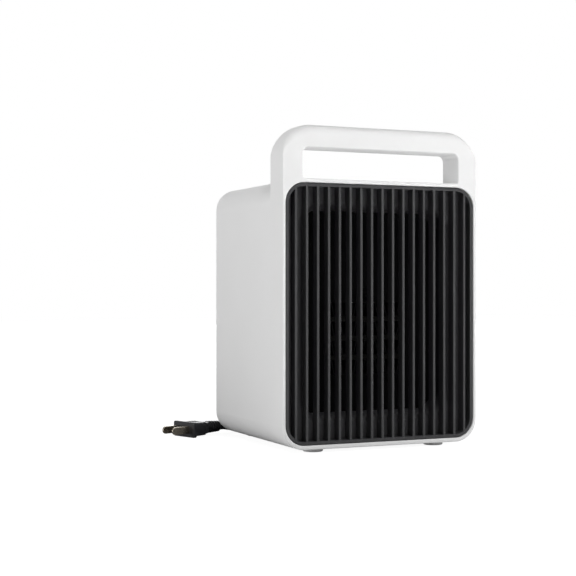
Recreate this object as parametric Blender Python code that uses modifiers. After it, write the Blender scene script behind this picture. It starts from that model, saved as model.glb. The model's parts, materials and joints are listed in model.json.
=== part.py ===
"""Desktop fan heater: a white moulded box whose front slab rises as a carrying handle.

X runs to the viewer's right, the heater blows towards -Y and +Z is up. The origin is at
the middle of the footprint, on the surface that the four feet stand on.
"""

import math

import bmesh
import bpy
from mathutils import Matrix, Vector

MM = 0.001

# Casing
body_width = 172 * MM
body_depth = 145 * MM
body_height = 209 * MM
handle_rise = 41 * MM
slab_depth = 25 * MM
side_wall = 2.3 * MM
floor_wall = 3.2 * MM
top_wall = 3.1 * MM
body_corner = 18.5 * MM
handle_corner = 25 * MM
slab_edge = 2 * MM
handle_edge = 7 * MM
moulding_step = 0.05 * MM
handle_post = 16.8 * MM
finger_height = 24.1 * MM
finger_corner = 5 * MM
corner_steps = 6
edge_steps = 2

# Clearances, and how far a cutter runs past what it cuts
fit = 0.3 * MM
overrun = 2 * MM

# Feet
foot_height = 3 * MM
foot_radius = 8 * MM
foot_socket = 1 * MM
foot_edge = 1 * MM
foot_inset_x = 32 * MM
foot_inset_y = 15 * MM
round_steps = 20
small_corner_steps = 3
tiny_corner_steps = 2

# Front grille
grille_recess = 0.8 * MM
grille_depth = 8 * MM
ring_width = 3 * MM
slat_count = 17
outer_gap = 4.4 * MM
slat_thickness = 2 * MM
slat_chamfer = 0.3 * MM
slat_corner_steps = 3

# Outlet duct
duct_wall = 1.6 * MM
duct_depth = 25 * MM
mouth_border = 17.4 * MM
mouth_sill = 21.5 * MM
mouth_head = 19.6 * MM
mouth_corner = 14 * MM
mouth_flare = 7 * MM
flare_steps = 5

# Heating element
element_width = 66 * MM
element_height = 58 * MM
element_depth = 14 * MM
element_drop = 20.5 * MM
element_sleeve = 2 * MM
element_corner = 0.2 * MM
frame_plate = 2 * MM
fin_rows = 4
fin_folds = 16
fin_foil = 0.6 * MM
fin_crest = 2.2 * MM
fin_inset = 1 * MM
ptc_thickness = 3.8 * MM
thermostat_radius = 8 * MM
thermostat_height = 7 * MM
thermostat_rise = 8 * MM
thermostat_cap = 5.5 * MM
fuse_radius = 2.4 * MM
fuse_length = 12 * MM
fuse_rise = 6 * MM

# Fan and its chassis
shroud_radius = 53 * MM
shroud_wall = 1.8 * MM
shroud_end = 8 * MM
chassis_plate = 2 * MM
chassis_front = -12 * MM
chassis_rise = 66 * MM
chassis_corner = 6 * MM
shroud_steps = 32
spoke_count = 4
spoke_width = 5 * MM
spoke_depth = 4 * MM
blade_count = 7
blade_gap = 2 * MM
blade_chord = 23 * MM
blade_growth = 10 * MM
blade_root_angle = math.radians(40)
blade_tip_angle = math.radians(25)
blade_camber = 2 * MM
blade_thickness = 1.4 * MM
blade_steps = 3
hub_radius = 17 * MM
hub_depth = 16 * MM
hub_wall = 2 * MM
hub_edge = 3 * MM
hub_front = -16 * MM
hub_boss = 5.5 * MM
hub_gap = 3 * MM
shaft_radius = 2.5 * MM
shaft_seat = 9 * MM
shaft_nose = 1 * MM
motor_radius = 22 * MM
motor_length = 31 * MM
motor_edge = 2 * MM
motor_boss_radius = 7 * MM
motor_boss_height = 3.5 * MM
motor_cup_depth = 14 * MM
motor_cup_wall = 2 * MM
cup_lip = 0.5 * MM
motor_plate = 2 * MM
motor_tail_radius = 9 * MM
motor_tail_height = 3 * MM
motor_screw_circle = 14 * MM
motor_screw_head = 2.7 * MM
motor_screw_cap = 1.1 * MM
motor_screw_shank = 1.2 * MM
motor_screw_length = 7 * MM

# Rear cover
cover_recess = 4 * MM
cover_thickness = 2.2 * MM
vent_columns = 12
vent_pitch = 9.375 * MM
vent_width = 3.4 * MM
vent_sill = 28.5 * MM
vent_bridge = 8 * MM
vent_steps = 2
boss_radius = 4.2 * MM
boss_length = 22 * MM
boss_inset = 12 * MM
screw_shank = 1.5 * MM
screw_length = 14 * MM
screw_head = 3 * MM
screw_cap = 1.6 * MM
screw_sides = 10

# Controls on the top
panel_width = 92 * MM
panel_depth = 34 * MM
panel_thickness = 1.6 * MM
panel_corner = 6 * MM
panel_ledge = 4 * MM
panel_proud = 0.3 * MM
panel_back = 22 * MM
button_radius = 6 * MM
button_proud = 1.6 * MM
button_edge = 0.6 * MM
button_spacing = 42 * MM
button_flange = 1.4 * MM
button_flange_height = 1.2 * MM
button_stem = 2 * MM
button_travel = 1 * MM
button_steps = 20
board_width = 78 * MM
board_depth = 22 * MM
board_thickness = 1.6 * MM
board_drop = 10.4 * MM
post_radius = 2.2 * MM
post_pin = 1.2 * MM
post_inset = 4 * MM
pin_length = 3 * MM
switch_size = 6 * MM
switch_height = 3.4 * MM
plunger_radius = 1.6 * MM
plunger_height = 0.5 * MM

# Mains switch at the rear
rocker_width = 13 * MM
rocker_height = 19 * MM
rocker_inset = 19.7 * MM
rocker_drop = 30 * MM
rocker_flange = 2 * MM
rocker_rim = 1.6 * MM
rocker_body_depth = 13 * MM
rocker_axis_depth = 2.5 * MM
rocker_swing = 0.4 * MM
rocker_rest = math.radians(9)
rocker_wall = 1.2 * MM
rocker_pin = 1 * MM
rocker_pin_length = 0.9 * MM
rocker_dish = 1 * MM

# Small electrical pieces
tip_switch_size = (16 * MM, 14 * MM, 18 * MM)
tip_switch_y = 35 * MM
small_edge = 0.8 * MM
block_size = (20 * MM, 12 * MM, 20 * MM)
block_port = 1.8 * MM
block_port_depth = 5 * MM
block_gap = 5 * MM
inner_cord = 8 * MM
wire_radius = 1.1 * MM
wire_sides = 1
wire_inset = 8 * MM
wire_step = 6 * MM
wire_spacing = 14 * MM

# Mains cord
cord_radius = 3.5 * MM
turn_gap = 0.5 * MM
coil_radius = 48.5 * MM
coil_turns = 5.5
coil_steps = 24
coil_y = 158 * MM
gland_inset = 15.2 * MM
gland_height = 13.5 * MM
gland_flange = 6.6 * MM
gland_flange_depth = 2 * MM
gland_neck = 5 * MM
gland_tip = 4.4 * MM
gland_length = 30 * MM
gland_ribs = 5
gland_rib_depth = 0.5 * MM
gland_hole_sides = 12
gland_nut = 2.4 * MM
tie_thickness = 0.8 * MM
tie_width = 10 * MM
tie_corner = 3 * MM
tie_slack = 1.2 * MM
cord_sides = 2
coil_sides = 1
route_step = 2 * 2 * cord_radius
route_span_steps = 12
lead_route = [
    Vector((56.5, 117, 14.0)) * MM,
    Vector((56.5, 128, 9.2)) * MM,
    Vector((56.5, 138, 5.4)) * MM,
]
tail_route = [
    Vector((-40.5, 132, 8.9)) * MM,
    Vector((-40.6, 121, 5.4)) * MM,
    Vector((-43.3, 108.3, 3.8)) * MM,
    Vector((-51.2, 98, 3.8)) * MM,
    Vector((-60.2, 92.8, 4.5)) * MM,
    Vector((-66, 90.7, 5.3)) * MM,
]

# Mains plug, in its own frame: blades along +X, broad faces up and down
plug_flange_width = 28 * MM
plug_flange_length = 2.8 * MM
plug_flange_height = 13 * MM
plug_body_width = 21 * MM
plug_waist_width = 16.4 * MM
plug_neck_width = 11 * MM
plug_waist = 15 * MM
plug_neck = 21 * MM
plug_body_height = 11.4 * MM
plug_edge = 1.4 * MM
plug_corner = 1 * MM
plug_steps = 4
blade_tip_steps = 6
relief_length = 14.3 * MM
relief_end = 9.4 * MM
relief_ribs = 5
relief_groove = 0.8 * MM
relief_overlap = 1.5 * MM
grip_length = 8.6 * MM
grip_wide = 11.5 * MM
grip_narrow = 7 * MM
grip_start = 3.4 * MM
grip_depth = 0.5 * MM
blade_spacing = 12.7 * MM
plug_blade_length = 17.9 * MM
plug_blade_height = 6.3 * MM
plug_blade_thickness = 1.5 * MM
plug_blade_socket = 5 * MM
plug_x = -79 * MM
plug_y = 86 * MM
plug_turn = math.radians(200)

# Levels and places worked out from the sizes above
base_z = foot_height
body_top = base_z + body_height
handle_top = body_top + handle_rise
front_y = -body_depth / 2
rear_y = body_depth / 2
cavity_width = body_width - 2 * side_wall
cavity_low = base_z + floor_wall
cavity_high = body_top - top_wall
cavity_corner = body_corner - side_wall
insert_width = cavity_width - 2 * fit
insert_low = cavity_low + fit
insert_high = cavity_high - fit
insert_corner = cavity_corner - fit
finger_width = body_width - 2 * handle_post
slat_pitch = (insert_width - 2 * (ring_width + outer_gap) - slat_thickness) / (slat_count - 1)
mouth_width = insert_width - 2 * mouth_border
mouth_low = insert_low + mouth_sill
mouth_high = insert_high - mouth_head
grille_front = front_y + grille_recess
grille_back = grille_front + grille_depth
duct_front = grille_back + fit
duct_back = duct_front + duct_depth
element_z = base_z + body_height / 2 - element_drop
vent_height = element_z - vent_bridge / 2 - insert_low - vent_sill
plate_front = duct_back + fit
plate_back = plate_front + frame_plate
cover_back = rear_y - cover_recess
cover_front = cover_back - cover_thickness
boss_x = cavity_width / 2 - boss_inset
rocker_x = rocker_inset - boss_x
rocker_z = body_top - rocker_drop
gland_x = boss_x - gland_inset
coil_x = gland_x - coil_radius
cord_width = 2 * cord_radius
turn_pitch = cord_width + turn_gap
coil_low = cord_radius + tie_thickness + fit

# Numbers without a size
weld = 0.01 * MM
smooth_angle = math.radians(35)
quarter = math.pi / 2
standing = {
    "XY": Matrix.Identity(4),
    "XZ": Matrix(((1, 0, 0, 0), (0, 0, -1, 0), (0, 1, 0, 0), (0, 0, 0, 1))),
    "YZ": Matrix(((0, 0, 1, 0), (1, 0, 0, 0), (0, 1, 0, 0), (0, 0, 0, 1))),
}
normals = {"XY": Vector((0, 0, 1)), "XZ": Vector((0, 1, 0)), "YZ": Vector((1, 0, 0))}
facing_back = (-quarter, 0, 0)
facing_front = (quarter, 0, 0)


def clear_scene():
    for item in list(bpy.data.objects):
        bpy.data.objects.remove(item, do_unlink=True)


def new_collection(name):
    group = bpy.data.collections.new(name)
    bpy.context.scene.collection.children.link(group)
    return group


clear_scene()
pieces = new_collection("desktop_fan_heater")
cutters = new_collection("cutters")


def finish_of(name, colour, roughness, metallic=0.0):
    """A plain material in the colour of the real piece."""
    made = bpy.data.materials.new(name)
    made.use_nodes = True
    shader = made.node_tree.nodes["Principled BSDF"]
    shader.inputs["Base Color"].default_value = (*colour, 1)
    shader.inputs["Roughness"].default_value = roughness
    shader.inputs["Metallic"].default_value = metallic
    return made


white_plastic = finish_of("white_plastic", (0.82, 0.82, 0.82), 0.4)
black_plastic = finish_of("black_plastic", (0.03, 0.03, 0.032), 0.45)
dark_plastic = finish_of("heat_resistant_plastic", (0.05, 0.05, 0.05), 0.6)
grey_rubber = finish_of("grey_rubber", (0.28, 0.28, 0.28), 0.8)
grey_plastic = finish_of("grey_plastic", (0.35, 0.35, 0.36), 0.5)
aluminium = finish_of("aluminium", (0.75, 0.75, 0.76), 0.35, 1.0)
ceramic = finish_of("ceramic", (0.55, 0.5, 0.42), 0.6)
steel = finish_of("steel", (0.55, 0.55, 0.56), 0.35, 1.0)
brass = finish_of("nickel_plated_brass", (0.72, 0.68, 0.6), 0.25, 1.0)
board_green = finish_of("circuit_board", (0.03, 0.16, 0.06), 0.5)
cord_black = finish_of("cord_pvc", (0.02, 0.02, 0.022), 0.4)
wire_red = finish_of("wire_red", (0.5, 0.03, 0.02), 0.5)
wire_blue = finish_of("wire_blue", (0.03, 0.08, 0.45), 0.5)


def keep(item, finish, parent=None):
    """Puts a finished piece with the heater's pieces, in its own finish."""
    for group in item.users_collection:
        group.objects.unlink(item)
    pieces.objects.link(item)
    item.data.materials.clear()
    item.data.materials.append(finish)
    if parent:
        item.parent = parent
        item.matrix_parent_inverse = parent.matrix_world.inverted()
    return item


def set_aside(item):
    """Puts a cutter, or a shape that another takes in, out of the heater itself."""
    for group in item.users_collection:
        group.objects.unlink(item)
    cutters.objects.link(item)
    item.hide_render = True
    item.display_type = "WIRE"
    return item


def combine(target, tools, operation):
    for tool in tools:
        step = target.modifiers.new(operation.lower(), "BOOLEAN")
        step.operation = operation
        step.solver = "EXACT"
        step.object = set_aside(tool)
    return target


def join(target, *tools):
    return combine(target, tools, "UNION")


def cut(target, *tools):
    return combine(target, tools, "DIFFERENCE")


def arc(centre, radius, start, turn, steps):
    """Points along an arc, both ends included."""
    points = []
    for step in range(steps + 1):
        angle = start + turn * step / steps
        points.append((centre[0] + radius * math.cos(angle), centre[1] + radius * math.sin(angle)))
    return points


def circle(centre, radius, steps):
    return arc(centre, radius, 0, 2 * math.pi, steps)[:-1]


def rounded_rect(width, low, high, low_corner, high_corner, steps=corner_steps, middle=0):
    """An anticlockwise outline between two levels, with its own radius below and above."""
    left = middle - width / 2
    right = middle + width / 2
    points = arc((right - high_corner, high - high_corner), high_corner, 0, quarter, steps)
    points += arc((left + high_corner, high - high_corner), high_corner, quarter, quarter, steps)
    points += arc((left + low_corner, low + low_corner), low_corner, 2 * quarter, quarter, steps)
    points += arc((right - low_corner, low + low_corner), low_corner, 3 * quarter, quarter, steps)
    return points


def rectangle(width, low, high, middle=0):
    left = middle - width / 2
    right = middle + width / 2
    return [(right, low), (right, high), (left, high), (left, low)]


def as_mesh(item, name):
    """The evaluated shape of an object as a mesh object, with its loose caps welded."""
    shape = bpy.data.meshes.new_from_object(item.evaluated_get(bpy.context.evaluated_depsgraph_get()))
    placed = item.matrix_world.copy()
    bpy.data.objects.remove(item, do_unlink=True)
    drawn = bmesh.new()
    drawn.from_mesh(shape)
    bmesh.ops.remove_doubles(drawn, verts=drawn.verts, dist=weld)
    drawn.to_mesh(shape)
    drawn.free()
    shape.shade_smooth()
    shape.set_sharp_from_angle(angle=smooth_angle)
    solid = bpy.data.objects.new(name, shape)
    solid.matrix_world = placed
    cutters.objects.link(solid)
    return solid


def plate(name, loops, plane, low, high, bevel=0, bevel_steps=edge_steps):
    """A flat outline with its holes, as thick as the space between two levels of its plane."""
    outline = bpy.data.curves.new(name, "CURVE")
    outline.dimensions = "2D"
    outline.fill_mode = "BOTH"
    outline.extrude = (high - low) / 2 - bevel
    outline.bevel_depth = bevel
    outline.offset = -bevel
    outline.bevel_resolution = bevel_steps
    for index, loop in enumerate(loops):
        points = loop if index == 0 else loop[::-1]
        spline = outline.splines.new("POLY")
        spline.points.add(len(points) - 1)
        for point, (across, up) in zip(spline.points, points):
            point.co = (across, up, 0, 1)
        spline.use_cyclic_u = True
    drawn = bpy.data.objects.new(name, outline)
    cutters.objects.link(drawn)
    solid = as_mesh(drawn, name)
    solid.matrix_world = Matrix.Translation(normals[plane] * (low + high) / 2) @ standing[plane]
    return solid


def turned(name, profile, steps, place, rotation=(0, 0, 0), ring=False):
    """A turned solid. Its profile of radius and height runs down the outer side; a ring's closes."""
    shape = bpy.data.meshes.new(name)
    points = [(radius, 0, height) for radius, height in profile]
    edges = [(index, index + 1) for index in range(len(points) - 1)]
    if ring:
        edges.append((len(points) - 1, 0))
    shape.from_pydata(points, edges, [])
    solid = bpy.data.objects.new(name, shape)
    cutters.objects.link(solid)
    turn = solid.modifiers.new("turn", "SCREW")
    turn.angle = 2 * math.pi
    turn.steps = steps
    turn.render_steps = steps
    turn.use_merge_vertices = True
    turn.merge_threshold = weld
    solid.location = place
    solid.rotation_euler = rotation
    return solid


def box(name, size, place, edge=0):
    """A block on its middle point, its edges rounded where an edge is given."""
    bpy.ops.mesh.primitive_cube_add(size=1, location=place)
    solid = bpy.context.object
    solid.name = name
    solid.data.transform(Matrix.Diagonal((*size, 1)))
    if edge:
        soften = solid.modifiers.new("edges", "BEVEL")
        soften.width = edge
        soften.segments = edge_steps
    set_aside(solid)
    solid.hide_render = False
    solid.display_type = "TEXTURED"
    return solid


def smooth_route(points, spacing):
    """Points read at an even spacing from a smooth curve through hand-chosen ones."""
    knots = [Vector(point) for point in points]
    knots = [2 * knots[0] - knots[1], *knots, 2 * knots[-1] - knots[-2]]
    fine = []
    for index in range(1, len(knots) - 2):
        before, start, end, after = knots[index - 1 : index + 3]
        for step in range(route_span_steps):
            t = step / route_span_steps
            value = 2 * start + (end - before) * t
            value += (2 * before - 5 * start + 4 * end - after) * t**2
            value += (3 * start - before - 3 * end + after) * t**3
            fine.append(value / 2)
    fine.append(knots[-2])
    lengths = [0]
    for one, other in zip(fine, fine[1:]):
        lengths.append(lengths[-1] + (other - one).length)
    count = max(2, round(lengths[-1] / spacing))
    route = [fine[0]]
    index = 1
    for step in range(1, count):
        wanted = lengths[-1] * step / count
        while lengths[index] < wanted:
            index += 1
        share = (wanted - lengths[index - 1]) / (lengths[index] - lengths[index - 1])
        route.append(fine[index - 1].lerp(fine[index], share))
    return [*route, fine[-1]]


def straight_ended(start, start_way, points, end, end_way, step):
    """A smooth route whose two ends leave square to what they meet."""
    first = start + start_way * cord_width
    last = end - end_way * cord_width
    return [start, *smooth_route([first, *points, last], step), end]


def tube(name, points, radius, sides):
    """A round tube along points, with its ends closed."""
    line = bpy.data.curves.new(name, "CURVE")
    line.dimensions = "3D"
    line.bevel_depth = radius
    line.bevel_resolution = sides
    line.use_fill_caps = True
    spline = line.splines.new("POLY")
    spline.points.add(len(points) - 1)
    for point, place in zip(spline.points, points):
        point.co = (*place, 1)
    solid = bpy.data.objects.new(name, line)
    cutters.objects.link(solid)
    return solid


def insert_outline(inset=0):
    """What slides into the casing from either end, with its clearance all round."""
    width = insert_width - 2 * inset
    corner = insert_corner - inset
    return rounded_rect(width, insert_low + inset, insert_high - inset, corner, corner)


boss_places = [
    (side * boss_x, level, side, up)
    for level, up in ((cavity_low + boss_inset, -1), (cavity_high - boss_inset, 1))
    for side in (-1, 1)
]
boss_back = cover_front - fit


def boss_outline(across, level, side, up):
    """A screw boss that grows out of the corner of the casing."""
    from_corner = math.hypot(cavity_corner - boss_inset, cavity_corner - boss_inset)
    reach = cavity_corner - from_corner + side_wall / 2
    out = Vector((side, up)).normalized()
    along = Vector((-out.y, out.x))
    middle = Vector((across, level))
    facing = math.atan2(along.y, along.x)
    points = arc(middle, boss_radius, facing, math.pi, screw_sides // 2)
    points.append(tuple(middle - along * boss_radius + out * reach))
    points.append(tuple(middle + along * boss_radius + out * reach))
    return points


foot_places = {
    "front_left": (-1, -1),
    "front_right": (1, -1),
    "rear_left": (-1, 1),
    "rear_right": (1, 1),
}
foot_x = body_width / 2 - foot_inset_x
foot_y = body_depth / 2 - foot_inset_y

panel_middle = front_y + slab_depth + panel_back + panel_depth / 2
panel_top = body_top + panel_proud
panel_low = panel_top - panel_thickness
ledge_top = panel_low - fit


def panel_outline(grow=0):
    near = panel_middle - panel_depth / 2 - grow
    far = panel_middle + panel_depth / 2 + grow
    corner = panel_corner + grow
    return rounded_rect(panel_width + 2 * grow, near, far, corner, corner, small_corner_steps)


def handle_rounding(side):
    """What is cut off one long top edge of the handle, to leave it well rounded."""
    face = front_y if side < 0 else front_y + slab_depth
    centre = (face - side * handle_edge, handle_top - handle_edge)
    start = 2 * quarter if side < 0 else 0
    turn = -quarter if side < 0 else quarter
    points = [(face + side * overrun, handle_top + overrun)]
    points.append((face + side * overrun, handle_top - handle_edge))
    points += arc(centre, handle_edge, start, turn, corner_steps - 2)
    points.append((face - side * handle_edge, handle_top + overrun))
    points = points if side < 0 else points[::-1]
    reach = body_width / 2 + overrun
    return plate("handle_rounding", [points], "YZ", -reach, reach)


def make_housing():
    """The white shell: a box open at both ends, with the handle slab as its front frame."""
    outer = rounded_rect(body_width, base_z, handle_top, body_corner, handle_corner)
    finger_top = body_top + finger_height
    finger = rounded_rect(finger_width, body_top, finger_top, slab_edge, finger_corner, edge_steps + 1)
    slab_back = front_y + slab_depth
    housing = plate("main_housing", [outer, finger], "XZ", front_y, slab_back, slab_edge)
    cut(housing, handle_rounding(-1), handle_rounding(1))
    corner = body_corner - moulding_step
    width = body_width - 2 * moulding_step
    shell = rounded_rect(width, base_z + moulding_step, body_top - moulding_step, corner, corner)
    shell_front = front_y + slab_depth / 2
    join(housing, plate("rear_box", [shell], "XZ", shell_front, rear_y, slab_edge))
    hollow = rounded_rect(cavity_width, cavity_low, cavity_high, cavity_corner, cavity_corner)
    cut(housing, plate("hollow", [hollow], "XZ", front_y - overrun, rear_y + overrun))
    for across, level, side, up in boss_places:
        bore = circle((across, level), screw_shank + fit, screw_sides)
        loops = [boss_outline(across, level, side, up), bore]
        join(housing, plate("screw_boss", loops, "XZ", boss_back - boss_length, boss_back))
    cut(housing, plate("panel_seat", [panel_outline(fit)], "XY", ledge_top, body_top + overrun))
    window = [panel_outline(fit - panel_ledge)]
    cut(housing, plate("panel_window", window, "XY", cavity_high - overrun, body_top + overrun))
    for side, end in foot_places.values():
        socket = circle((side * foot_x, end * foot_y), foot_radius + fit, round_steps)
        cut(housing, plate("foot_socket", [socket], "XY", base_z - overrun, base_z + foot_socket))
    return keep(housing, white_plastic)


def make_feet():
    foot_top = base_z + foot_socket - fit
    profile = [
        (0, foot_top),
        (foot_radius, foot_top),
        (foot_radius, foot_edge),
        (foot_radius - foot_edge, 0),
        (0, 0),
    ]
    for name, (side, end) in foot_places.items():
        place = (side * foot_x, end * foot_y, 0)
        keep(turned("foot_" + name, profile, round_steps, place), grey_rubber)


def ring_samples(left, right):
    """Places across a slot, closer together where the ring turns its corner."""
    corner = insert_corner - ring_width
    flat = insert_width / 2 - ring_width - corner
    if right <= flat:
        return [left, right], flat, corner
    places = [left] if left < flat else []
    start = math.asin(max(0, left - flat) / corner)
    end = math.asin(min(1, (right - flat) / corner))
    for step in range(slat_corner_steps + 1):
        angle = start + (end - start) * step / slat_corner_steps
        places.append(flat + corner * math.sin(angle))
    return places, flat, corner


def slot_outline(left, right, side):
    """The gap between two slats, from the ring's lower edge to its upper edge."""
    places, flat, corner = ring_samples(left, right)
    below = []
    above = []
    for across in places:
        past = min(max(0, across - flat), corner)
        drop = corner - math.sqrt(corner**2 - past**2)
        below.append((side * across, insert_low + ring_width + drop))
        above.append((side * across, insert_high - ring_width - drop))
    if above[-1][1] - below[-1][1] < fit:
        above.pop()
    loop = below + above[::-1]
    return loop if side > 0 else loop[::-1]


def make_grille():
    """The black ring and its upright slats, one moulding."""
    gaps = []
    edge = insert_width / 2 - ring_width
    for index in range(slat_count // 2 + 1):
        left = index * slat_pitch + slat_thickness / 2
        right = min((index + 1) * slat_pitch - slat_thickness / 2, edge)
        gaps += [slot_outline(left, right, side) for side in (-1, 1)]
    loops = [insert_outline(), *gaps]
    grille = plate("front_grille", loops, "XZ", grille_front, grille_back, slat_chamfer, 0)
    return keep(grille, black_plastic)


def skin(name, rings, wall):
    """A shell through a row of like outlines, given as (outline, place along Y)."""
    shape = bpy.data.meshes.new(name)
    points = [(across, along, up) for outline, along in rings for across, up in outline]
    count = len(rings[0][0])
    faces = []
    for row in range(len(rings) - 1):
        for index in range(count):
            after = (index + 1) % count
            near = row * count
            far = near + count
            faces.append((near + index, near + after, far + after, far + index))
    shape.from_pydata(points, [], faces)
    solid = bpy.data.objects.new(name, shape)
    cutters.objects.link(solid)
    thicken = solid.modifiers.new("wall", "SOLIDIFY")
    thicken.thickness = wall
    thicken.offset = -1
    thicken.use_even_offset = True
    return solid


def mouth_outline(grow):
    corner = mouth_corner + grow
    return rounded_rect(mouth_width + 2 * grow, mouth_low - grow, mouth_high + grow, corner, corner)


def make_duct():
    """The funnel behind the slats, whose edges curve back from a flange that fills the casing."""
    rings = [(insert_outline(), duct_front)]
    for step in range(flare_steps + 1):
        angle = quarter * step / flare_steps
        grow = mouth_flare * (1 - math.sin(angle))
        rings.append((mouth_outline(grow), duct_front + mouth_flare * (1 - math.cos(angle))))
    rings.append((mouth_outline(0), duct_back))
    return keep(skin("outlet_duct", rings, duct_wall), black_plastic)


element_front = plate_front - (element_depth - frame_plate) / 2
element_back = element_front + element_depth
element_low = element_z - element_height / 2
fin_height = (element_height - (fin_rows - 1) * ptc_thickness - 2 * fin_rows * fit) / fin_rows
row_pitch = fin_height + ptc_thickness + 2 * fit


def element_outline(grow):
    low = element_low - grow
    corner = element_corner + grow
    return rounded_rect(element_width + 2 * grow, low, low + element_height + 2 * grow, corner, corner, 1)


def make_heater_frame():
    """The plate behind the funnel, with the sleeve that holds the heating element."""
    loops = [mouth_outline(duct_wall), element_outline(element_sleeve / 2)]
    frame = plate("heater_frame", loops, "XZ", plate_front, plate_back)
    sleeve = [element_outline(element_sleeve), element_outline(0)]
    join(frame, plate("sleeve", sleeve, "XZ", element_front, element_back))
    return keep(frame, dark_plastic)


def fin_outline(low):
    """One folded strip of foil, with flat crests that touch the plates above and below it."""
    width = element_width - 2 * fit
    pitch = (width - fin_crest) / fin_folds
    upper = []
    lower = []
    for fold in range(fin_folds + 1):
        middle = -width / 2 + fin_crest / 2 + fold * pitch
        wide = fin_crest / 2
        narrow = wide - fin_foil
        at_top = fold % 2 == 0
        over = wide if at_top else narrow
        under = narrow if at_top else wide
        top = low + fin_height if at_top else low + fin_foil
        upper += [(middle - over, top), (middle + over, top)]
        lower += [(middle - under, top - fin_foil), (middle + under, top - fin_foil)]
    lower[0] = (lower[0][0] - fin_foil, low + fin_height - fin_foil)
    if fin_folds % 2 == 0:
        lower[-1] = (lower[-1][0] + fin_foil, low + fin_height - fin_foil)
    return lower + upper[::-1]


def make_element():
    """Folded aluminium strips with flat heating plates between them."""
    for row in range(fin_rows):
        low = element_low + fit + row * row_pitch
        front = element_front + fin_inset
        back = element_back - fin_inset
        name = f"heater_fins_{row + 1}"
        keep(plate(name, [fin_outline(low)], "XZ", front, back), aluminium)
        if row < fin_rows - 1:
            bar_low = low + fin_height + fit
            bar = [rectangle(element_width - 2 * fit, bar_low, bar_low + ptc_thickness)]
            keep(plate(f"ptc_bar_{row + 1}", bar, "XZ", front, back), ceramic)


thermostat_z = element_z + shroud_radius + shroud_wall + thermostat_rise + thermostat_radius
fuse_z = element_low + element_height + element_sleeve + fuse_rise


def make_safety_pieces():
    seat = thermostat_height - thermostat_cap
    profile = [
        (0, thermostat_height),
        (thermostat_cap, thermostat_height),
        (thermostat_cap, seat),
        (thermostat_radius, seat),
        (thermostat_radius, 0),
        (0, 0),
    ]
    place = (0, plate_back + fit, thermostat_z)
    keep(turned("thermostat", profile, round_steps, place, facing_back), steel)
    profile = [
        (0, fuse_length / 2),
        (fuse_radius, fuse_length / 2),
        (fuse_radius, -fuse_length / 2),
        (0, -fuse_length / 2),
    ]
    place = (0, plate_front - fit - fuse_radius, fuse_z)
    keep(turned("thermal_fuse", profile, screw_sides, place, (0, quarter, 0)), ceramic)


hub_back = hub_front + hub_depth
cup_front = hub_back + hub_gap
cup_back = cup_front + motor_cup_depth
cup_radius = motor_radius + fit
motor_front = cup_front + cup_lip + motor_plate + fit
axis = (0, element_z)


def spoke_outline(angle):
    along = Vector((math.cos(angle), math.sin(angle)))
    across = Vector((-along.y, along.x)) * spoke_width / 2
    near = Vector(axis) + along * (cup_radius + motor_cup_wall / 2)
    far = Vector(axis) + along * (shroud_radius + shroud_wall / 2)
    return [tuple(point) for point in (near - across, far - across, far + across, near + across)]


def motor_screw_places():
    for side in (-1, 1):
        angle = side * quarter
        along = motor_screw_circle * math.cos(angle)
        yield (along, element_z + motor_screw_circle * math.sin(angle))


def make_chassis():
    """The bulkhead with the fan's shroud, four spokes and the cup that holds the motor."""
    top = element_z + chassis_rise
    outline = rounded_rect(insert_width, insert_low, top, insert_corner, chassis_corner)
    opening = circle(axis, shroud_radius + shroud_wall / 2, shroud_steps)
    back = chassis_front + chassis_plate
    chassis = plate("fan_chassis", [outline, opening], "XZ", chassis_front, back)
    tube_loops = [circle(axis, shroud_radius + shroud_wall, shroud_steps)]
    tube_loops.append(circle(axis, shroud_radius, shroud_steps))
    cup = [circle(axis, cup_radius + motor_cup_wall, round_steps), circle(axis, cup_radius, round_steps)]
    floor = [circle(axis, cup_radius + motor_cup_wall / 2, round_steps)]
    floor.append(circle(axis, motor_boss_radius + fit, round_steps))
    floor += [circle(place, motor_screw_shank + fit, screw_sides) for place in motor_screw_places()]
    floor_front = cup_front + cup_lip
    join(
        chassis,
        plate("shroud", tube_loops, "XZ", plate_back + fit, shroud_end),
        plate("motor_cup", cup, "XZ", cup_front, cup_back),
        plate("cup_floor", floor, "XZ", floor_front, floor_front + motor_plate),
    )
    spoke_back = shroud_end - cup_lip
    for index in range(spoke_count):
        spoke = [spoke_outline(quarter / 2 + 4 * quarter * index / spoke_count)]
        join(chassis, plate("spoke", spoke, "XZ", spoke_back - spoke_depth, spoke_back))
    return keep(chassis, dark_plastic)


def blade_shape(name, turn):
    """One twisted blade, flatter and longer towards its tip."""
    drawn = bmesh.new()
    steps = blade_steps
    bmesh.ops.create_grid(drawn, x_segments=steps, y_segments=steps, size=1)
    root = hub_radius - hub_wall / 2
    tip = shroud_radius - blade_gap
    for point in drawn.verts:
        share = (point.co.x + 1) / 2
        along = point.co.y
        radius = root + (tip - root) * share
        chord = blade_chord + blade_growth * share
        pitch = blade_root_angle + (blade_tip_angle - blade_root_angle) * share
        rise = blade_camber * (1 - along**2)
        run = along * chord / 2
        around = run * math.cos(pitch) - rise * math.sin(pitch)
        height = hub_depth / 2 + run * math.sin(pitch) + rise * math.cos(pitch)
        angle = turn + around / radius
        point.co = (radius * math.cos(angle), radius * math.sin(angle), height)
    shape = bpy.data.meshes.new(name)
    drawn.to_mesh(shape)
    drawn.free()
    solid = bpy.data.objects.new(name, shape)
    cutters.objects.link(solid)
    thicken = solid.modifiers.new("wall", "SOLIDIFY")
    thicken.thickness = blade_thickness
    thicken.offset = 0
    return solid


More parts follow.
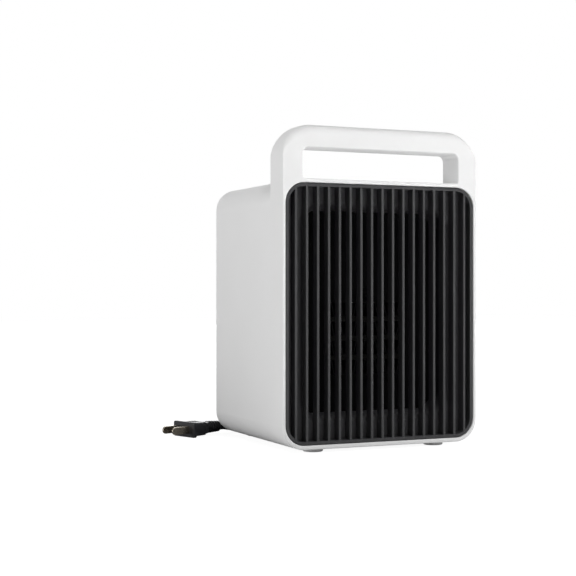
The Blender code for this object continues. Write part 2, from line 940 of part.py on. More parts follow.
def make_fan():
    """The impeller: a cup-shaped hub with twisted blades, on the motor's shaft."""
    place = (0, hub_front, element_z)
    bore = shaft_radius + fit
    boss_end = hub_depth - hub_edge
    inner = hub_radius - hub_wall
    corner = arc((hub_radius - hub_edge, hub_edge), hub_edge, 0, -quarter, edge_steps + 1)
    profile = [(hub_radius, hub_depth), *corner, (bore, 0), (bore, boss_end)]
    profile += [(hub_boss, boss_end), (hub_boss, hub_wall), (inner, hub_wall), (inner, hub_depth)]
    hub = turned("fan_impeller", profile, round_steps, place, facing_back, ring=True)
    for index in range(blade_count):
        blade = blade_shape("blade", 4 * quarter * index / blade_count)
        blade.location = place
        blade.rotation_euler = facing_back
        join(hub, blade)
    keep(hub, black_plastic)
    length = motor_front + shaft_seat - fit - hub_front
    profile = [(0, length), (shaft_radius, length), (shaft_radius, -shaft_nose), (0, -shaft_nose)]
    keep(turned("motor_shaft", profile, screw_sides, place, facing_back), steel)


motor_screw_sizes = (motor_screw_shank, motor_screw_length, motor_screw_head, motor_screw_cap)


def screw(name, place, sizes, rotation):
    """A plain screw: its head below the place that it is given, its shank above."""
    shank, length, head, cap = sizes
    profile = [
        (0, length),
        (shank, length),
        (shank, 0),
        (head, 0),
        (head, -cap),
        (0, -cap),
    ]
    return turned(name, profile, screw_sides, place, rotation)


def make_motor():
    """The round motor in its cup, held by two screws through the cup's floor."""
    bore = shaft_radius + fit
    tail = motor_length + motor_tail_height
    profile = [
        (0, tail),
        (motor_tail_radius, tail),
        (motor_tail_radius, motor_length),
        (motor_radius - motor_edge, motor_length),
        (motor_radius, motor_length - motor_edge),
        (motor_radius, 0),
        (motor_boss_radius, 0),
        (motor_boss_radius, -motor_boss_height),
        (bore, -motor_boss_height),
        (bore, shaft_seat),
        (0, shaft_seat),
    ]
    motor = turned("motor_body", profile, round_steps, (0, motor_front, element_z), facing_back)
    under_head = cup_front + cup_lip - fit
    for index, (across, up) in enumerate(motor_screw_places()):
        hole = circle((across, up), motor_screw_shank + fit, screw_sides)
        hole_end = under_head + motor_screw_length + fit
        cut(motor, plate("screw_hole", [hole], "XZ", motor_front - overrun, hole_end))
        name = f"motor_screw_{index + 1}"
        keep(screw(name, (across, under_head, up), motor_screw_sizes, facing_back), steel)
    return keep(motor, steel)


gland_z = base_z + gland_height
gland_place = (gland_x, cover_back + fit, gland_z)
gland_passage = cover_thickness + 2 * fit


def vent_outline(across, low):
    radius = vent_width / 2
    points = arc((across, low + vent_height - radius), radius, 0, 2 * quarter, vent_steps)
    points += arc((across, low + radius), radius, 2 * quarter, 2 * quarter, vent_steps)
    return points


def make_cover():
    """The rear cover: intake slots over the fan, the cord's hole, the switch's window, four screws."""
    loops = [insert_outline()]
    rows = (element_z - vent_bridge / 2 - vent_height, element_z + vent_bridge / 2)
    for column in range(vent_columns):
        across = (column - (vent_columns - 1) / 2) * vent_pitch
        loops += [vent_outline(across, low) for low in rows]
    loops.append(circle((gland_x, gland_z), gland_neck + fit, gland_hole_sides))
    low = rocker_z - rocker_height / 2 - fit
    loops.append(rectangle(rocker_width + 2 * fit, low, low + rocker_height + 2 * fit, rocker_x))
    sizes = (screw_shank, screw_length, screw_head, screw_cap)
    for index, (across, level, side, up) in enumerate(boss_places):
        loops.append(circle((across, level), screw_shank + fit, screw_sides))
        place = (across, cover_back + fit, level)
        keep(screw(f"cover_screw_{index + 1}", place, sizes, facing_front), steel)
    return keep(plate("rear_cover", loops, "XZ", cover_front, cover_back), black_plastic)


board_top = panel_low - board_drop
board_low = board_top - board_thickness
post_x = board_width / 2 - post_inset
plunger_top = board_top + fit + switch_height + plunger_height


def make_panel():
    """The panel on the top, with two posts that carry the circuit board on their pins."""
    loops = [panel_outline()]
    for side in (-1, 1):
        middle = (side * button_spacing / 2, panel_middle)
        loops.append(circle(middle, button_radius + fit, button_steps))
    panel = plate("control_panel", loops, "XY", panel_low, panel_top)
    board = [rectangle(board_width, panel_middle - board_depth / 2, panel_middle + board_depth / 2)]
    for side in (-1, 1):
        post = circle((side * post_x, panel_middle), post_radius, screw_sides)
        pin = circle((side * post_x, panel_middle), post_pin, screw_sides)
        post_top = panel_low + panel_thickness / 2
        join(panel, plate("post", [post], "XY", board_top + fit, post_top))
        pin_low = board_top + fit - pin_length
        join(panel, plate("post_pin", [pin], "XY", pin_low, pin_low + 2 * pin_length))
        board.append(circle((side * post_x, panel_middle), post_pin + fit, screw_sides))
    keep(panel, grey_plastic)
    keep(plate("control_board", board, "XY", board_low, board_top), board_green)


def make_buttons():
    """Two push buttons, each held under the panel by its flange, over a small switch."""
    under_panel = -panel_thickness - fit
    flange_low = under_panel - button_flange_height
    stem_end = plunger_top + button_travel + fit - panel_top
    profile = [
        (0, button_proud),
        (button_radius - button_edge, button_proud),
        (button_radius, button_proud - button_edge),
        (button_radius, under_panel),
        (button_radius + button_flange, under_panel),
        (button_radius + button_flange, flange_low),
        (button_stem, flange_low),
        (button_stem, stem_end),
        (0, stem_end),
    ]
    for index, (name, side) in enumerate((("power_button", -1), ("heat_button", 1))):
        across = side * button_spacing / 2
        place = (across, panel_middle, panel_top)
        keep(turned(name, profile, button_steps, place), white_plastic)
        middle = board_top + fit + switch_height / 2
        size = (switch_size, switch_size, switch_height)
        switch = box(f"button_switch_{index + 1}", size, (across, panel_middle, middle))
        plunger = circle((across, panel_middle), plunger_radius, screw_sides)
        join(switch, plate("plunger", [plunger], "XY", middle, plunger_top))
        keep(switch, black_plastic)


rocker_face = cover_back + fit + rocker_rim
rocker_back = rocker_face - rocker_body_depth
rocker_axis = (rocker_x, rocker_face - rocker_axis_depth, rocker_z)


def rocker_outline(grow, corner):
    low = rocker_z - rocker_height / 2 - grow
    high = rocker_z + rocker_height / 2 + grow
    return rounded_rect(rocker_width + 2 * grow, low, high, corner, corner, tiny_corner_steps, rocker_x)


def make_rocker():
    """The mains switch: a frame through the cover, and a key that rocks on two pins."""
    well = rocker_outline(-rocker_wall, small_edge)
    loops = [rocker_outline(rocker_flange, rocker_flange), well]
    frame = plate("rocker_frame", loops, "XZ", cover_back + fit, rocker_face)
    body = rocker_outline(0, small_edge)
    body_top_y = cover_back + fit + rocker_rim / 2
    floor = rocker_outline(-rocker_wall / 2, small_edge)
    pin_hole = circle((rocker_axis[1], rocker_axis[2]), rocker_pin + fit, screw_sides)
    reach = rocker_width / 2 + overrun
    join(
        frame,
        plate("switch_body", [body, well], "XZ", rocker_back, body_top_y),
        plate("switch_floor", [floor], "XZ", rocker_back + cup_lip, rocker_back + 2 * rocker_wall),
    )
    cut(frame, plate("pin_hole", [pin_hole], "YZ", rocker_x - reach, rocker_x + reach))
    keep(frame, black_plastic)
    half = rocker_height / 2 - rocker_wall - 2 * fit - rocker_swing
    rise = rocker_axis_depth + rocker_dish
    outline = [
        (rise - rocker_dish, 0),
        (rise, half),
        (-rocker_pin, half),
        (-rocker_axis_depth, half / 2),
        (-rocker_axis_depth, -half / 2),
        (-rocker_pin, -half),
        (rise, -half),
    ]
    key_half = rocker_width / 2 - rocker_wall - fit
    key = plate("rocker_key", [outline], "YZ", -key_half, key_half)
    pin_reach = key_half + rocker_pin_length
    pin = plate("rocker_pin", [circle((0, 0), rocker_pin, screw_sides)], "YZ", -pin_reach, pin_reach)
    rest = Matrix.Translation(rocker_axis) @ Matrix.Rotation(rocker_rest, 4, "X") @ standing["YZ"]
    key.matrix_world = rest
    pin.matrix_world = rest
    return keep(join(key, pin), black_plastic)


block_back = gland_place[1] - gland_passage - gland_nut - 2 * fit - inner_cord
block_front = block_back - block_size[1]
port_z = insert_low + block_size[2] / 2
port_places = [(gland_x + step * block_gap, port_z) for step in (-1, 0, 1)]


def make_small_pieces():
    """The tip-over switch and the terminal block, both on the casing's floor."""
    middle = insert_low + tip_switch_size[2] / 2
    place = (rocker_x, tip_switch_y, middle)
    switch = box("tip_over_switch", tip_switch_size, place, small_edge)
    keep(switch, black_plastic)
    place = (gland_x, block_back - block_size[1] / 2, insert_low + block_size[2] / 2)
    block = box("terminal_block", block_size, place)
    for port in port_places:
        hole = [circle(port, block_port, screw_sides)]
        end = block_front + block_port_depth
        cut(block, plate("port", hole, "XZ", block_front - overrun, end))
    keep(block, ceramic)


def make_wires():
    """Three insulated wires from the terminal block, each up the side wall to its own piece."""
    start = block_front + block_port_depth - fit
    side_x = insert_width / 2 - wire_inset
    back_y = block_front - wire_inset
    under_board = (post_x - post_inset, panel_middle, board_low - fit)
    ends = {
        "wire_live": [
            (side_x, back_y, element_z),
            (side_x, back_y, rocker_z - wire_inset),
            (coil_x, back_y, rocker_z),
            (rocker_x + wire_inset, back_y, rocker_z),
            (rocker_x, rocker_back - block_port_depth, rocker_z),
            (rocker_x, rocker_back - fit, rocker_z),
        ],
        "wire_neutral": [
            (side_x, back_y - wire_step, element_z),
            (side_x, back_y - wire_step, thermostat_z),
            (side_x / 2, motor_front, thermostat_z),
            (0, plate_back + thermostat_height + 2 * wire_step, thermostat_z),
            (0, plate_back + thermostat_height + 2 * fit, thermostat_z),
        ],
        "wire_board": [
            (side_x, back_y - 2 * wire_step, element_z),
            (side_x, back_y - 2 * wire_step, thermostat_z),
            (under_board[0], under_board[1] + wire_step, board_low - 2 * wire_step),
            (under_board[0], under_board[1], board_low - wire_step),
            under_board,
        ],
    }
    finishes = (wire_red, wire_blue, wire_red)
    for (name, rest), (across, up), finish in zip(ends.items(), port_places, finishes):
        clear_of_port = (across, start - block_port_depth - wire_step, up)
        middle = smooth_route([clear_of_port, *rest[:-1]], wire_spacing)
        route = [(across, start, up), *middle, rest[-1]]
        keep(tube(name, route, wire_radius, wire_sides), finish)


def make_gland():
    """The strain relief: a flange and a nut on both sides of the cover, and a ribbed tapered sleeve."""
    rib_pitch = (gland_length - gland_flange_depth) / (2 * gland_ribs)
    profile = [(0, gland_length)]
    for step in range(2 * gland_ribs):
        high = gland_length - step * rib_pitch
        share = (high - gland_flange_depth) / (gland_length - gland_flange_depth)
        radius = gland_neck + (gland_tip - gland_neck) * share
        if step % 2:
            radius -= gland_rib_depth
        profile += [(radius, high), (radius, high - rib_pitch)]
    profile += [
        (gland_flange, gland_flange_depth),
        (gland_flange, 0),
        (gland_neck, 0),
        (gland_neck, -gland_passage),
        (gland_flange, -gland_passage),
        (gland_flange, -gland_passage - gland_nut),
        (0, -gland_passage - gland_nut),
    ]
    return keep(turned("cord_gland", profile, screw_sides, gland_place, facing_back), cord_black)


def coil_route():
    """The coil's turns: in at floor level, up a layer where the spiral turns round, and out again."""
    total = 4 * quarter * coil_turns
    turn_round = total / 2
    count = round(coil_turns * coil_steps)
    route = []
    for step in range(count + 1):
        angle = total * step / count
        turned_in = min(angle, turn_round) - max(0, angle - turn_round)
        radius = coil_radius - turn_pitch * turned_in / (4 * quarter)
        climb = min(1, max(0, (angle - turn_round + quarter) / (2 * quarter)))
        level = coil_low + turn_pitch * climb**2 * (3 - 2 * climb)
        x = coil_x + radius * math.cos(angle)
        y = coil_y + radius * math.sin(angle)
        route.append(Vector((x, y, level)))
    lead_in = route[0] + Vector((0, -cord_width, 0))
    lead_out = route[-1] + Vector((0, -cord_width, 0))
    return [lead_in, *route, lead_out]


def least_gap(route):
    """The smallest clear space between turns, measured between the points of the route."""
    least = None
    apart = coil_steps // 2
    for index, point in enumerate(route):
        for other in route[index + apart :]:
            gap = (other - point).length - cord_width
            least = gap if least is None else min(least, gap)
    return least


def route_length(route):
    return sum((after - before).length for before, after in zip(route, route[1:]))


plug_length = plug_flange_length + plug_neck + relief_length
plug_way = Vector((math.cos(plug_turn), math.sin(plug_turn), 0))
relief_place = Vector((plug_x, plug_y, plug_flange_height / 2))
plug_place = relief_place + plug_way * plug_length


def make_cord():
    """The mains cord: through the gland, down to the floor, round its coil and out to the plug."""
    coil = coil_route()
    inner_start = Vector((gland_x, gland_place[1] - gland_passage - gland_nut - fit, gland_z))
    inner_end = inner_start - Vector((0, inner_cord, 0))
    keep(tube("cord_inner", [inner_start, inner_end], cord_radius, cord_sides), cord_black)
    lead_start = Vector((gland_x, gland_place[1] + gland_length + fit, gland_z))
    lead_end = coil[0] - Vector((0, fit, 0))
    back = Vector((0, 1, 0))
    lead = straight_ended(lead_start, back, lead_route, lead_end, back, route_step)
    keep(tube("cord_lead", lead, cord_radius, cord_sides), cord_black)
    keep(tube("cord_coil", coil, cord_radius, coil_sides), cord_black)
    tail_start = coil[-1] - Vector((0, fit, 0))
    tail_end = relief_place - plug_way * fit
    tail = straight_ended(tail_start, -back, tail_route, tail_end, plug_way, route_step)
    keep(tube("cord_tail", tail, cord_radius, cord_sides), cord_black)
    whole = route_length(lead) + route_length(coil) + route_length(tail)
    print(f"cord length {whole / MM:.0f} mm, least gap in the coil {least_gap(coil) / MM:.2f} mm")
    middle = coil_y + coil_radius - turn_pitch * (coil_turns / 2 - 1 / 4) / 2
    width = turn_pitch * (coil_turns / 2 - 3 / 4) + cord_width + 2 * tie_slack
    low = coil_low - cord_radius - fit
    high = coil_low + turn_pitch + cord_radius + fit
    corner = tie_corner
    steps = small_corner_steps
    around = width + 2 * tie_thickness
    outer = rounded_rect(around, low - tie_thickness, high + tie_thickness, corner, corner, steps, middle)
    inner_corner = corner - tie_thickness
    inner = rounded_rect(width, low, high, inner_corner, inner_corner, steps, middle)
    near = coil_x - tie_width / 2
    keep(plate("cord_tie", [outer, inner], "YZ", near, near + tie_width), black_plastic)


def plug_half_width(back):
    """Half the plug's width at a distance behind its flange, drawn in like a shoulder."""
    if back <= plug_waist:
        share = back / plug_waist
        return (plug_body_width + (plug_waist_width - plug_body_width) * share**2) / 2
    share = (back - plug_waist) / (plug_neck - plug_waist)
    return (plug_waist_width + (plug_neck_width - plug_waist_width) * share) / 2


def make_plug():
    """The two-blade mains plug, lying flat on the end of its cord."""
    frame = bpy.data.objects.new("plug_frame", None)
    pieces.objects.link(frame)
    frame.location = plug_place
    frame.rotation_euler = (0, 0, plug_turn)
    half = plug_flange_height / 2
    section = [rounded_rect(plug_flange_width, -half, half, plug_edge, plug_edge, tiny_corner_steps)]
    body = plate("plug_body", section, "YZ", -plug_flange_length, 0, plug_corner / 2, 1)
    backs = [-plug_flange_length / 2]
    backs += [plug_waist * step / plug_steps for step in range(1, plug_steps + 1)]
    backs.append(plug_neck)
    side = [(-plug_flange_length - back, plug_half_width(max(0, back))) for back in backs]
    outline = [(x, -y) for x, y in side[::-1]] + side
    half_body = plug_body_height / 2
    shoulder = plate("plug_shoulder", [outline[::-1]], "XY", -half_body, half_body, plug_edge, 1)
    rib_pitch = relief_length / (2 * relief_ribs)
    profile = [(0, relief_length)]
    for step in range(2 * relief_ribs):
        high = relief_length - step * rib_pitch
        radius = (plug_neck_width + (relief_end - plug_neck_width) * high / relief_length) / 2
        if step % 2:
            radius -= relief_groove
        profile += [(radius, high), (radius, high - rib_pitch)]
    profile[-1] = (profile[-1][0], -relief_overlap)
    profile.append((0, -relief_overlap))
    start = (-plug_flange_length - plug_neck, 0, 0)
    relief = turned("relief", profile, screw_sides, start, (0, -quarter, 0))
    join(body, shoulder, relief)
    first = -plug_flange_length - grip_start
    last = first - grip_length
    wide = grip_wide / 2
    narrow = grip_narrow / 2
    grip = [(first, wide), (last, narrow), (last, -narrow), (first, -wide)]
    for face in (-1, 1):
        levels = sorted((face * (half_body - grip_depth), face * (half_body + overrun)))
        recess = plate("grip", [grip], "XY", *levels)
        recess.parent = frame
        cut(body, recess)
    reach = plug_blade_height / 2
    for index, sign in enumerate((-1, 1)):
        middle = sign * blade_spacing / 2
        thick = plug_blade_thickness / 2
        tip = plug_blade_length - reach
        blade = [(-plug_blade_socket, -reach)]
        blade += arc((tip, 0), reach, -quarter, 2 * quarter, blade_tip_steps)
        blade.append((-plug_blade_socket, reach))
        solid = plate(f"plug_blade_{index + 1}", [blade], "XZ", middle - thick, middle + thick)
        solid.parent = frame
        keep(solid, brass)
        grown = reach + fit
        socket = [rectangle(2 * thick + 2 * fit, -grown, grown, middle)]
        hole = plate("blade_socket", socket, "YZ", -plug_blade_socket - fit, overrun)
        hole.parent = frame
        cut(body, hole)
    for item in (body, shoulder, relief):
        item.parent = frame
    return keep(body, cord_black)


make_housing()
make_feet()
make_grille()
make_duct()
make_heater_frame()
make_element()
make_safety_pieces()
make_chassis()
make_fan()
make_motor()
make_cover()
make_panel()
make_buttons()
make_rocker()
make_small_pieces()
make_wires()
make_gland()
make_cord()
make_plug()
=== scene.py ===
"""Desktop fan heater: moulded white casing, slatted black outlet, mains cord and plug.

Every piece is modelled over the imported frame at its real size, in metres, with +Z up. The
heater blows towards -Y. Run from Blender's text editor, or with blender --python.
"""

import json
import math

import bmesh
import bpy
from bpy.props import FloatProperty, FloatVectorProperty, IntProperty, PointerProperty, StringProperty
from mathutils import Matrix, Vector


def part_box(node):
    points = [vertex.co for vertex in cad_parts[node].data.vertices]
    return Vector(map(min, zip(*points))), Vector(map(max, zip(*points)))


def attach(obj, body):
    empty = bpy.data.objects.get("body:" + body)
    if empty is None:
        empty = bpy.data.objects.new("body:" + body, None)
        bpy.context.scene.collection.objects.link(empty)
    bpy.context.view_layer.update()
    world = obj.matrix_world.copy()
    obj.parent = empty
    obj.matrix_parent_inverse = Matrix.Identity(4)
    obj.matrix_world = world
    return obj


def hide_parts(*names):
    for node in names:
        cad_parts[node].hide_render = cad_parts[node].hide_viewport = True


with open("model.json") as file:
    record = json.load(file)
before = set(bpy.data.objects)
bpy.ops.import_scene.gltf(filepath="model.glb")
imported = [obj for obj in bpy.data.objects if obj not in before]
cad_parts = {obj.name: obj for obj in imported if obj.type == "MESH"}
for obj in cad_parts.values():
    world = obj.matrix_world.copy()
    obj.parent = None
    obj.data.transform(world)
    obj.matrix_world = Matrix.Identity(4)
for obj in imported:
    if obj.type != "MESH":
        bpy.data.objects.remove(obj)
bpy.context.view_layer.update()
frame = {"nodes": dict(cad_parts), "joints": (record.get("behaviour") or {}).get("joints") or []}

bl_info = {
    "name": "Desktop fan heater",
    "version": (1, 0, 0),
    "blender": (4, 5, 0),
    "location": "3D View > Sidebar > Heater",
    "description": "Models a desktop fan heater piece by piece over its frame",
    "category": "Object",
}

MM = 0.001
# Places closer than this count as the same
NEAR = 0.02 * MM
# How far a cutting tool runs past what it cuts
OVERRUN = 1 * MM

# Corners of the frame's own nodes, which the pieces take their places from
SHELL_LOW, SHELL_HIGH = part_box("main_housing")
GRILLE_LOW, GRILLE_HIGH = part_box("front_grille")
DUCT_LOW, DUCT_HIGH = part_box("outlet_duct")
COVER_LOW, COVER_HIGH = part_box("rear_cover")
PANEL_LOW, PANEL_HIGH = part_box("control_panel")
POWER_LOW, POWER_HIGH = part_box("power_button")
HEAT_LOW, HEAT_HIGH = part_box("heat_button")
ROCKER_LOW, ROCKER_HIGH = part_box("rocker_frame")
GLAND_LOW, GLAND_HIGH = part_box("cord_gland")
TIE_LOW, TIE_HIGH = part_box("cord_tie")
JOINTS = {joint["name"]: joint for joint in frame["joints"]}
FEET = ("front_left", "front_right", "rear_left", "rear_right")

# The body's flat top lies this far under the top of the handle
HANDLE_RISE = 41 * MM
# The photograph shows the handle's top a little above the frame's
HANDLE_LIFT = 0.8 * MM
PANEL_CORNER = 6 * MM
FOOT_RADIUS = 8 * MM

# The plug lies flat on the floor, its blades away from the cord, its body before its ribbed relief
PLUG_TURN = math.radians(200)
PLUG_WAY = Vector((math.cos(PLUG_TURN), math.sin(PLUG_TURN), 0))
PLUG_FLANGE = 2.8 * MM
PLUG_BODY = 23.8 * MM
PLUG_RELIEF = 14.3 * MM
PLUG_END = Vector((-79, 86, 6.5)) * MM
PLUG_PLACE = PLUG_END + PLUG_WAY * (PLUG_BODY + PLUG_RELIEF)


def length(name, description, millimetres):
    """One size for the sidebar."""
    return FloatProperty(name=name, description=description, default=millimetres * MM, unit="LENGTH")


class HeaterSizes(bpy.types.PropertyGroup):
    """Sizes of the moulded pieces"""

    body_corner: length("Body corner", "Radius of the casing's long corners", 18.5)
    insert_corner: length("Insert corner", "Radius of the corners of grille, funnel and rear cover", 15.9)
    handle_corner: length("Handle corner", "Radius of the handle's upper corners", 25)
    handle_round: length("Handle rounding", "Radius along the handle's top edges", 7)
    shell_edge: length("Shell edge", "Radius of the casing's front edge", 0.9)
    slat_count: IntProperty(name="Slats", description="Upright slats in the grille", default=17, min=3)
    slat_thickness: length("Slat thickness", "Thickness of one slat", 2)
    slat_pitch: length("Slat pitch", "Distance between slat centres", 9.375)
    ring_width: length("Ring width", "Width of the grille's ring", 2.7)
    cord_width: length("Cord width", "Outer diameter of the mains cord", 7)


class HeaterColours(bpy.types.PropertyGroup):
    """Colours of the finishes, as sRGB hex values"""

    white: StringProperty(name="White", description="Moulded casing and buttons", default="#EAEAEA")
    black: StringProperty(name="Black", description="Grille, funnel and rear cover", default="#323234")
    foot: StringProperty(name="Foot", description="Rubber feet", default="#F0F0F0")
    panel: StringProperty(name="Panel", description="Control panel", default="#8E9093")
    cord: StringProperty(name="Cord", description="Cord and plug", default="#26262A")


class StudioSettings(bpy.types.PropertyGroup):
    """The camera's place and lens, matched to the photograph"""

    lens: FloatProperty(name="Lens", description="Focal length in millimetres", default=80.0)
    camera_place: FloatVectorProperty(
        name="Camera",
        description="Where the camera stands",
        default=(-0.477, -0.965, 0.1285),
        subtype="XYZ",
    )
    camera_turn: FloatProperty(
        name="Turn",
        description="The camera's turn to the right",
        default=math.radians(23.9),
        subtype="ANGLE",
    )


def linear(colour):
    """An sRGB hex value as linear red, green, blue and alpha."""
    shares = [int(colour[start : start + 2], 16) / 255 for start in (1, 3, 5)]
    return (*[s / 12.92 if s <= 0.04045 else ((s + 0.055) / 1.055) ** 2.4 for s in shares], 1)


def tinted(colour, share):
    """A colour made lighter or darker by a share."""
    return (*[min(1, part * share) for part in colour[:3]], 1)


def add(tree, kind, settings=None, **links):
    """Adds a node with its settings, and links its sockets or gives them values.

    A socket goes by its name, or by i and its number where several share a name.
    """
    made = tree.nodes.new(kind)
    for name, value in (settings or {}).items():
        setattr(made, name, value)
    for name, value in links.items():
        socket = made.inputs[int(name[1:])] if name[0] == "i" and name[1:].isdigit() else None
        socket = socket or made.inputs[name.replace("_", " ")]
        if isinstance(value, bpy.types.NodeSocket):
            tree.links.new(value, socket)
        else:
            socket.default_value = value
    return made


def moulded(name, colour, roughness, grain=0.3, relief=0.004, shade=0.03, specular=0.5):
    """Moulded, extruded, fired or printed stock, with slow shifts of shade and gloss.

    Its grain and the grain's relief are in millimetres, drawn coarse enough to show close up, and
    shade is the share by which its colour drifts over a hand's breadth.
    """
    made = bpy.data.materials.new(name)
    made.use_nodes = True
    tree = made.node_tree
    shader = tree.nodes["Principled BSDF"]
    place = add(tree, "ShaderNodeTexCoord").outputs["Object"]
    drift = add(tree, "ShaderNodeTexNoise", Vector=place, Scale=1 / (60 * MM), Detail=2.0)
    share = add(tree, "ShaderNodeMapRange", Value=drift.outputs["Fac"], From_Min=0.3, From_Max=0.7)
    colours = add(
        tree,
        "ShaderNodeMix",
        {"data_type": "RGBA"},
        i0=share.outputs["Result"],
        i6=tinted(colour, 1 - shade),
        i7=tinted(colour, 1 + shade),
    )
    tree.links.new(colours.outputs[2], shader.inputs["Base Color"])
    gloss = add(
        tree,
        "ShaderNodeMapRange",
        Value=share.outputs["Result"],
        To_Min=roughness * 0.92,
        To_Max=roughness * 1.08,
    )
    tree.links.new(gloss.outputs["Result"], shader.inputs["Roughness"])
    grained = add(
        tree, "ShaderNodeTexNoise", Vector=place, Scale=1 / (grain * MM), Detail=3.0, Roughness=0.6
    )
    bump = add(tree, "ShaderNodeBump", Strength=0.6, Distance=relief * MM, Height=grained.outputs["Fac"])
    tree.links.new(bump.outputs["Normal"], shader.inputs["Normal"])
    shader.inputs["IOR"].default_value = 1.53
    shader.inputs["Specular IOR Level"].default_value = specular


def drawn_metal(name, colour, roughness, line, stretch):
    """Bare or plated metal, whose fine lines, in millimetres, are drawn out by a stretch per axis."""
    made = bpy.data.materials.new(name)
    made.use_nodes = True
    tree = made.node_tree
    shader = tree.nodes["Principled BSDF"]
    place = add(tree, "ShaderNodeTexCoord").outputs["Object"]
    drawn_out = add(tree, "ShaderNodeMapping", Vector=place, Scale=stretch)
    lines = add(
        tree, "ShaderNodeTexNoise", Vector=drawn_out.outputs["Vector"], Scale=1 / (line * MM), Detail=2.0
    )
    share = add(tree, "ShaderNodeMapRange", Value=lines.outputs["Fac"], From_Min=0.3, From_Max=0.7)
    colours = add(
        tree,
        "ShaderNodeMix",
        {"data_type": "RGBA"},
        i0=share.outputs["Result"],
        i6=tinted(colour, 0.86),
        i7=tinted(colour, 1.06),
    )
    tree.links.new(colours.outputs[2], shader.inputs["Base Color"])
    gloss = add(
        tree,
        "ShaderNodeMapRange",
        Value=lines.outputs["Fac"],
        To_Min=roughness * 0.75,
        To_Max=roughness * 1.3,
    )
    tree.links.new(gloss.outputs["Result"], shader.inputs["Roughness"])
    bump = add(tree, "ShaderNodeBump", Strength=0.25, Distance=0.02 * MM, Height=lines.outputs["Fac"])
    tree.links.new(bump.outputs["Normal"], shader.inputs["Normal"])
    shader.inputs["Metallic"].default_value = 1.0


def choose(*items):
    """Selects these objects alone, with the first one active."""
    if bpy.context.object and bpy.context.object.mode != "OBJECT":
        bpy.ops.object.mode_set(mode="OBJECT")
    bpy.ops.object.select_all(action="DESELECT")
    for item in items:
        item.select_set(True)
    bpy.context.view_layer.objects.active = items[0] if items else None


def named(name):
    """Gives the object just made its name, with its place and size in its mesh."""
    bpy.ops.object.transform_apply(location=True, rotation=True, scale=True)
    made = bpy.context.object
    made.name = name
    made.data.name = name
    return made


def block(name, low, high):
    """A block between two corners."""
    low = Vector(low)
    high = Vector(high)
    choose()
    bpy.ops.mesh.primitive_cube_add(size=1, location=(low + high) / 2)
    bpy.ops.transform.resize(value=high - low)
    return named(name)


def rod(name, radius, start, end, sides=48):
    """A round rod from one point to another."""
    start = Vector(start)
    end = Vector(end)
    choose()
    bpy.ops.mesh.primitive_cylinder_add(
        vertices=sides,
        radius=radius,
        depth=(end - start).length,
        location=(start + end) / 2,
        rotation=(end - start).to_track_quat("Z", "Y").to_euler(),
    )
    return named(name)


def post(name, radius, centre, low, high, sides=48):
    """An upright rod round a centre, between two levels."""
    return rod(name, radius, (centre.x, centre.y, low), (centre.x, centre.y, high), sides)


def bore(name, radius, centre, low, high, sides=48):
    """A level rod along Y through a centre, between two depths."""
    return rod(name, radius, (centre.x, low, centre.z), (centre.x, high, centre.z), sides)


def pick(item, kind, test):
    """In edit mode, selects the vertices, edges or faces whose places pass a test."""
    choose(item)
    bpy.ops.object.mode_set(mode="EDIT")
    bpy.ops.mesh.select_mode(type=kind)
    bpy.ops.mesh.select_all(action="DESELECT")
    shape = bmesh.from_edit_mesh(item.data)
    parts = {"VERT": shape.verts, "EDGE": shape.edges, "FACE": shape.faces}[kind]
    for part in parts:
        places = [part.co] if kind == "VERT" else [corner.co for corner in part.verts]
        if test(*places) if kind != "FACE" else test(places):
            part.select_set(True)
    shape.select_flush_mode()
    bmesh.update_edit_mesh(item.data)


def round_edges(item, test, radius, steps=4):
    """Bevels the edges whose two ends pass a test."""
    pick(item, "EDGE", test)
    bpy.ops.mesh.bevel(offset=radius, segments=steps, affect="EDGES", clamp_overlap=False)
    bpy.ops.object.mode_set(mode="OBJECT")
    return item


def along(axis):
    """A test for edges that run along an axis."""
    across = [other for other in range(3) if other != axis]
    return lambda a, b: all(abs(a[other] - b[other]) < NEAR for other in across)


def lying_at(axis, level, low=None, high=None):
    """A test for edges at one level of an axis, and between two corners where those are given."""

    def test(a, b):
        if abs(a[axis] - level) > NEAR or abs(b[axis] - level) > NEAR:
            return False
        if low is None:
            return True
        others = [other for other in range(3) if other != axis]
        return all(low[o] - NEAR < p[o] < high[o] + NEAR for p in (a, b) for o in others)

    return test


def carve(item, tool, operation="DIFFERENCE"):
    """Cuts a tool out of a piece, or unites the two, and takes the tool away."""
    choose(item)
    step = item.modifiers.new("carve", "BOOLEAN")
    step.operation = operation
    step.solver = "EXACT"
    step.object = tool
    bpy.ops.object.modifier_apply(modifier=step.name)
    bpy.data.objects.remove(tool, do_unlink=True)


def copied(item, name, shift):
    """A copy with a mesh of its own, moved in that mesh."""
    choose(item)
    bpy.ops.object.duplicate(linked=False)
    bpy.ops.transform.translate(value=shift)
    return named(name)


def joined(*items):
    """Several objects as one."""
    choose(*items)
    bpy.ops.object.join()
    return items[0]


def outward(item):
    """Turns a piece's faces outwards."""
    pick(item, "FACE", lambda places: True)
    bpy.ops.mesh.normals_make_consistent(inside=False)
    bpy.ops.object.mode_set(mode="OBJECT")
    return item


def finished(item, material, body="casing", nodes=(), angle=30):
    """Shades a piece, gives it its finish, and ties it to the frame."""
    choose(item)
    bpy.ops.object.shade_smooth_by_angle(angle=math.radians(angle))
    even = item.modifiers.new("even", "WEIGHTED_NORMAL")
    even.keep_sharp = True
    bpy.ops.object.modifier_apply(modifier=even.name)
    item.data.materials.clear()
    item.data.materials.append(bpy.data.materials[material])
    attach(item, body)
    if nodes:
        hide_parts(*nodes)


